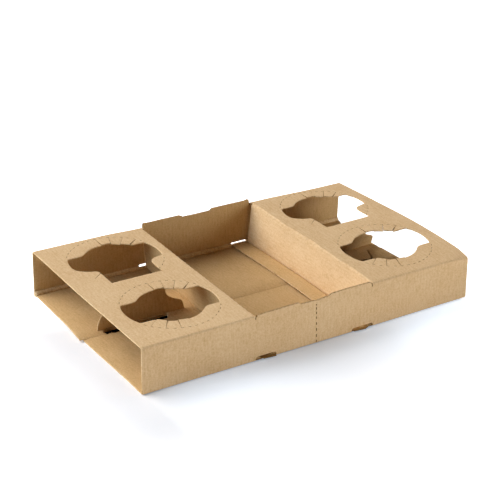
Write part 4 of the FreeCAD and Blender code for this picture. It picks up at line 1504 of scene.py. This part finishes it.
@dataclass(frozen=True)
class FlutingTree:
    """Geometry nodes that set an arch of wavy paper on each vertex of a row."""

    columns: int = 11
    seed: int = 7
    crushed: float = 0.82
    inputs: tuple[str, ...] = ("Flute pitch", "Rise", "Paper", "Depth")

    def build(self) -> bpy.types.NodeTree:
        """Builds the node tree.

        Returns:
            The tree, with the sizes of the arch as named inputs.
        """
        tree = bpy.data.node_groups.new("fluting in a cut edge", "GeometryNodeTree")
        tree.interface.new_socket(name="Geometry", in_out="INPUT", socket_type="NodeSocketGeometry")
        for name in self.inputs:
            tree.interface.new_socket(name=name, in_out="INPUT", socket_type="NodeSocketFloat")
        tree.interface.new_socket(name="Geometry", in_out="OUTPUT", socket_type="NodeSocketGeometry")
        given = add_node(tree, "NodeGroupInput")
        pitch, rise, paper, depth = (given.outputs[name] for name in self.inputs)
        size = add_node(tree, COMBINE, links={0: pitch, 1: paper, 2: depth})
        strip = add_node(tree, "GeometryNodeMeshCube", {"=Vertices X": self.columns},
                         {"Size": size.outputs[0]})
        place = add_node(tree, "GeometryNodeInputPosition")
        parts = add_node(tree, SEPARATE, links={0: place.outputs[0]})
        share = add_node(tree, MATH, {"operation": "DIVIDE"}, {0: parts.outputs[0], 1: pitch})
        turn = add_node(tree, MATH, {"operation": "MULTIPLY", 1: 2.0 * math.pi}, {0: share.outputs[0]})
        wave = add_node(tree, MATH, {"operation": "COSINE"}, {0: turn.outputs[0]})
        swing = add_node(tree, MATH, {"operation": "MULTIPLY"}, {0: wave.outputs[0], 1: rise})
        sunk = add_node(tree, MATH, {"operation": "MULTIPLY", 1: -0.5}, {0: depth})
        offset = add_node(tree, COMBINE, links={1: swing.outputs[0], 2: sunk.outputs[0]})
        arch = add_node(tree, "GeometryNodeSetPosition",
                        links={"Geometry": strip.outputs["Mesh"], "Offset": offset.outputs[0]})
        # Each flute end is crushed a little differently by the die.
        chance = add_node(tree, "FunctionNodeRandomValue", {"=Seed": self.seed})
        chance.inputs[2].default_value, chance.inputs[3].default_value = self.crushed, 1.0
        scale = add_node(tree, COMBINE, {0: 1.0}, {1: chance.outputs[1], 2: chance.outputs[1]})
        row = add_node(tree, "GeometryNodeInstanceOnPoints",
                       links={"Points": given.outputs["Geometry"], "Instance": arch.outputs["Geometry"],
                              "Scale": scale.outputs[0]})
        real = add_node(tree, "GeometryNodeRealizeInstances", links={"Geometry": row.outputs[0]})
        dressed = add_node(tree, "GeometryNodeSetMaterial", {"=Material": kraft(FLUTING)},
                           {"Geometry": real.outputs[0]})
        add_node(tree, "NodeGroupOutput", links={0: dressed.outputs[0]})
        return tree


@dataclass(frozen=True)
class Studio:
    """White table, soft light and the camera of the photograph."""

    target: tuple[float, float, float] = (0.0479, 0.0761, 0.0)
    azimuth: float = -33.616
    elevation: float = 25.456
    roll: float = 1.769
    distance: float = 1.2029
    lens: float = 97.71
    sensor: float = 36.0

    def add_camera(self) -> None:
        """Adds the camera and makes it the scene's own."""
        az, el, roll = (math.radians(v) for v in (self.azimuth, self.elevation, self.roll))
        forward = Vector((-math.sin(az) * math.cos(el), math.cos(az) * math.cos(el), -math.sin(el)))
        right = forward.cross(Vector((0.0, 0.0, 1.0))).normalized()
        up = right.cross(forward)
        turned_right = math.cos(roll) * right + math.sin(roll) * up
        turned_up = -math.sin(roll) * right + math.cos(roll) * up
        place = Vector(self.target) - forward * self.distance
        data = bpy.data.cameras.new("camera")
        data.lens = self.lens
        data.sensor_width = self.sensor
        data.clip_start = 0.05
        data.clip_end = 50.0
        camera = bpy.data.objects.new("camera", data)
        bpy.context.scene.collection.objects.link(camera)
        turn = Matrix((turned_right, turned_up, -forward)).transposed()
        camera.matrix_world = Matrix.Translation(place) @ turn.to_4x4()
        bpy.context.scene.camera = camera

    def add_light(self, name: str, place: tuple[float, float, float], size: float, watts: float,
                  tint: tuple[float, float, float] = (1.0, 1.0, 1.0)) -> None:
        """Adds a soft square lamp that faces the carrier.

        Args:
            name: Name of the lamp.
            place: Where it stands, in metres.
            size: Length of its side, in metres.
            watts: Its power.
            tint: Its colour in linear light.
        """
        data = bpy.data.lights.new(name, "AREA")
        data.color = tint
        data.size = size
        data.energy = watts
        lamp = bpy.data.objects.new(name, data)
        bpy.context.scene.collection.objects.link(lamp)
        aim = Vector((0.0, 0.0, 0.02)) - Vector(place)
        turn = aim.to_track_quat("-Z", "Y").to_matrix().to_4x4()
        lamp.matrix_world = Matrix.Translation(Vector(place)) @ turn

    def add_floor(self) -> None:
        """Adds the white table that the carrier stands on."""
        mesh = bpy.data.meshes.new("table")
        half = 6.0
        corners = [(-half, -half, 0.0), (half, -half, 0.0), (half, half, 0.0), (-half, half, 0.0)]
        mesh.from_pydata(corners, [], [(0, 1, 2, 3)])
        table = bpy.data.objects.new("table", mesh)
        bpy.context.scene.collection.objects.link(table)
        table.location = (0.0, 0.0, -0.2 * MM)
        mesh.materials.append(self.table_paint())

    def table_paint(self) -> bpy.types.Material:
        """Matt white paint, seen a little lighter than it is through a glow that paints the carrier's shadow,
        and near black under the carrier as a painted shade.

        Returns:
            The material.
        """
        material = bpy.data.materials.new("matt white table")
        material.use_nodes = True
        tree = material.node_tree
        tree.nodes.clear()
        place = add_node(tree, "ShaderNodeTexCoord")
        folded = add_node(tree, "ShaderNodeVectorMath", {"operation": "ABSOLUTE"},
                          {0: place.outputs["Object"]})
        parts = add_node(tree, SEPARATE, links={0: folded.outputs[0]})
        sides = add_node(tree, SEPARATE, links={0: place.outputs["Object"]})
        at: dict[str, bpy.types.NodeSocket] = {}
        # Each slope over the table starts and ends at a distance from the carrier's middle, in metres.
        for name, source, axis, first, last, shape, top in (
            ("beyond x", parts, "X", 0.146, 0.151, "LINEAR", 1.0),
            ("beyond y", parts, "Y", 0.083, 0.092, "LINEAR", 1.0),
            ("right end", sides, "X", 0.146, 0.155, "LINEAR", 1.0),
            ("behind", sides, "Y", 0.0, 0.1, "SMOOTHSTEP", 1.0),
            ("along", sides, "X", -0.152, 0.152, "LINEAR", 1.0),
            ("far front", sides, "Y", -0.125, -0.26, "SMOOTHSTEP", 0.7),
            ("far left", sides, "X", -0.158, -0.25, "SMOOTHSTEP", 0.6),
        ):
            slope = add_node(tree, MAP_RANGE, {"interpolation_type": shape, "=From Min": first,
                                               "=From Max": last, "=To Max": top}, {0: source.outputs[axis]})
            at[name] = slope.outputs[0]
        # In front, the glow is least at mid length, so the painted shadow is deepest there.
        ends = add_node(tree, "ShaderNodeFloatCurve", links={"Value": at["along"]})
        curve = ends.mapping.curves[0]
        curve.points[0].location, curve.points[1].location = (0.0, 0.12), (1.0, 0.9)
        for share, strength in ((0.04, 0.28), (0.12, 0.42), (0.2, 0.44), (0.4, 0.27),
                                (0.5, 0.23), (0.6, 0.28), (0.8, 0.64)):
            curve.points.new(share, strength)
        ends.mapping.update()
        at["ends"] = ends.outputs[0]
        path = add_node(tree, "ShaderNodeLightPath")
        for ray in ("Camera", "Glossy", "Transmission"):
            at[ray] = path.outputs[f"Is {ray} Ray"]
        # The table lies in the dark under the carrier, so nothing is added there. It is pure white beyond
        # the right end and behind.
        for name, operation, first, second in (
            ("direct", "MAXIMUM", "Camera", "Glossy"), ("seen", "MAXIMUM", "direct", "Transmission"),
            ("outside", "MAXIMUM", "beyond x", "beyond y"), ("shown", "MULTIPLY", "seen", "outside"),
            ("white", "MAXIMUM", "right end", "behind"), ("near", "ADD", "ends", "far front"),
            ("front", "ADD", "near", "far left"), ("level", "MAXIMUM", "front", "white"),
            ("glow", "MULTIPLY", "shown", "level"), ("away", "ADD", "far front", "far left"),
        ):
            term = add_node(tree, MATH, {"operation": operation}, {0: at[first], 1: at[second]})
            at[name] = term.outputs[0]
        # The board throws brown light into its own shadow. The cool glow there takes it back to grey.
        plain = add_node(tree, MATH, {"operation": MULTIPLY_ADD, "use_clamp": True, 1: 8.0},
                         {0: at["away"], 2: at["white"]})
        tint = add_node(tree, "ShaderNodeMix",
                        {"data_type": "RGBA", 6: linear("#DEEEFF"), 7: linear("#FFFFFF")},
                        {0: plain.outputs[0]})
        # Under the carrier the table is painted near black, a painted shade.
        shade = add_node(tree, "ShaderNodeMix",
                         {"data_type": "RGBA", 6: linear("#0A0806"), 7: linear("#F2F2F2")},
                         {0: at["outside"]})
        paint = add_node(tree, "ShaderNodeBsdfDiffuse", links={"Color": shade.outputs[2]})
        light = add_node(tree, "ShaderNodeEmission", links={"Color": tint.outputs[2], "Strength": at["glow"]})
        both = add_node(tree, "ShaderNodeAddShader", links={0: paint.outputs[0], 1: light.outputs[0]})
        add_node(tree, "ShaderNodeOutputMaterial", links={"Surface": both.outputs[0]})
        return material

    def add_world(self) -> None:
        """Adds an even white surround, seen as white by the camera."""
        world = bpy.data.worlds.new("surround")
        world.use_nodes = True
        tree = world.node_tree
        tree.nodes.clear()
        path = add_node(tree, "ShaderNodeLightPath")
        strength = add_node(tree, "ShaderNodeMix", {"data_type": "FLOAT", 2: 0.0, 3: 1.0},
                            {0: path.outputs["Is Camera Ray"]})
        back = add_node(tree, "ShaderNodeBackground", links={"Strength": strength.outputs[0]})
        add_node(tree, "ShaderNodeOutputWorld", links={"Surface": back.outputs[0]})
        bpy.context.scene.world = world

    def build(self) -> None:
        """Sets up the whole studio."""
        self.add_camera()
        self.add_floor()
        self.add_world()
        self.add_light("key", (-1.6, 1.6, 2.08), 2.5, 110.0, (1.04, 1.0, 0.99))
        self.add_light("left fill", (-1.9, 0.1, 0.6), 0.6, 17.5, (0.76, 0.92, 1.09))
        self.add_light("front fill", (0.35, -1.05, 0.11), 0.26, 5.2)
        self.add_light("right fill", (1.5, -0.2, 0.7), 0.9, 5.0)
        bpy.context.scene.view_settings.view_transform = "Standard"


def main() -> None:
    """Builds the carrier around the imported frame, then the studio."""
    logging.basicConfig(level=logging.INFO, format="%(message)s")
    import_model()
    model = CarrierModel(SIZES)
    carrier = model.build()
    fluting = model.build_fluting()
    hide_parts(NODE)
    for piece in (carrier, fluting):
        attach(piece, BODY)
        LOG.info("%s rides on %s", piece.name, BODY)
    Studio().build()


if __name__ == "__main__":
    main()
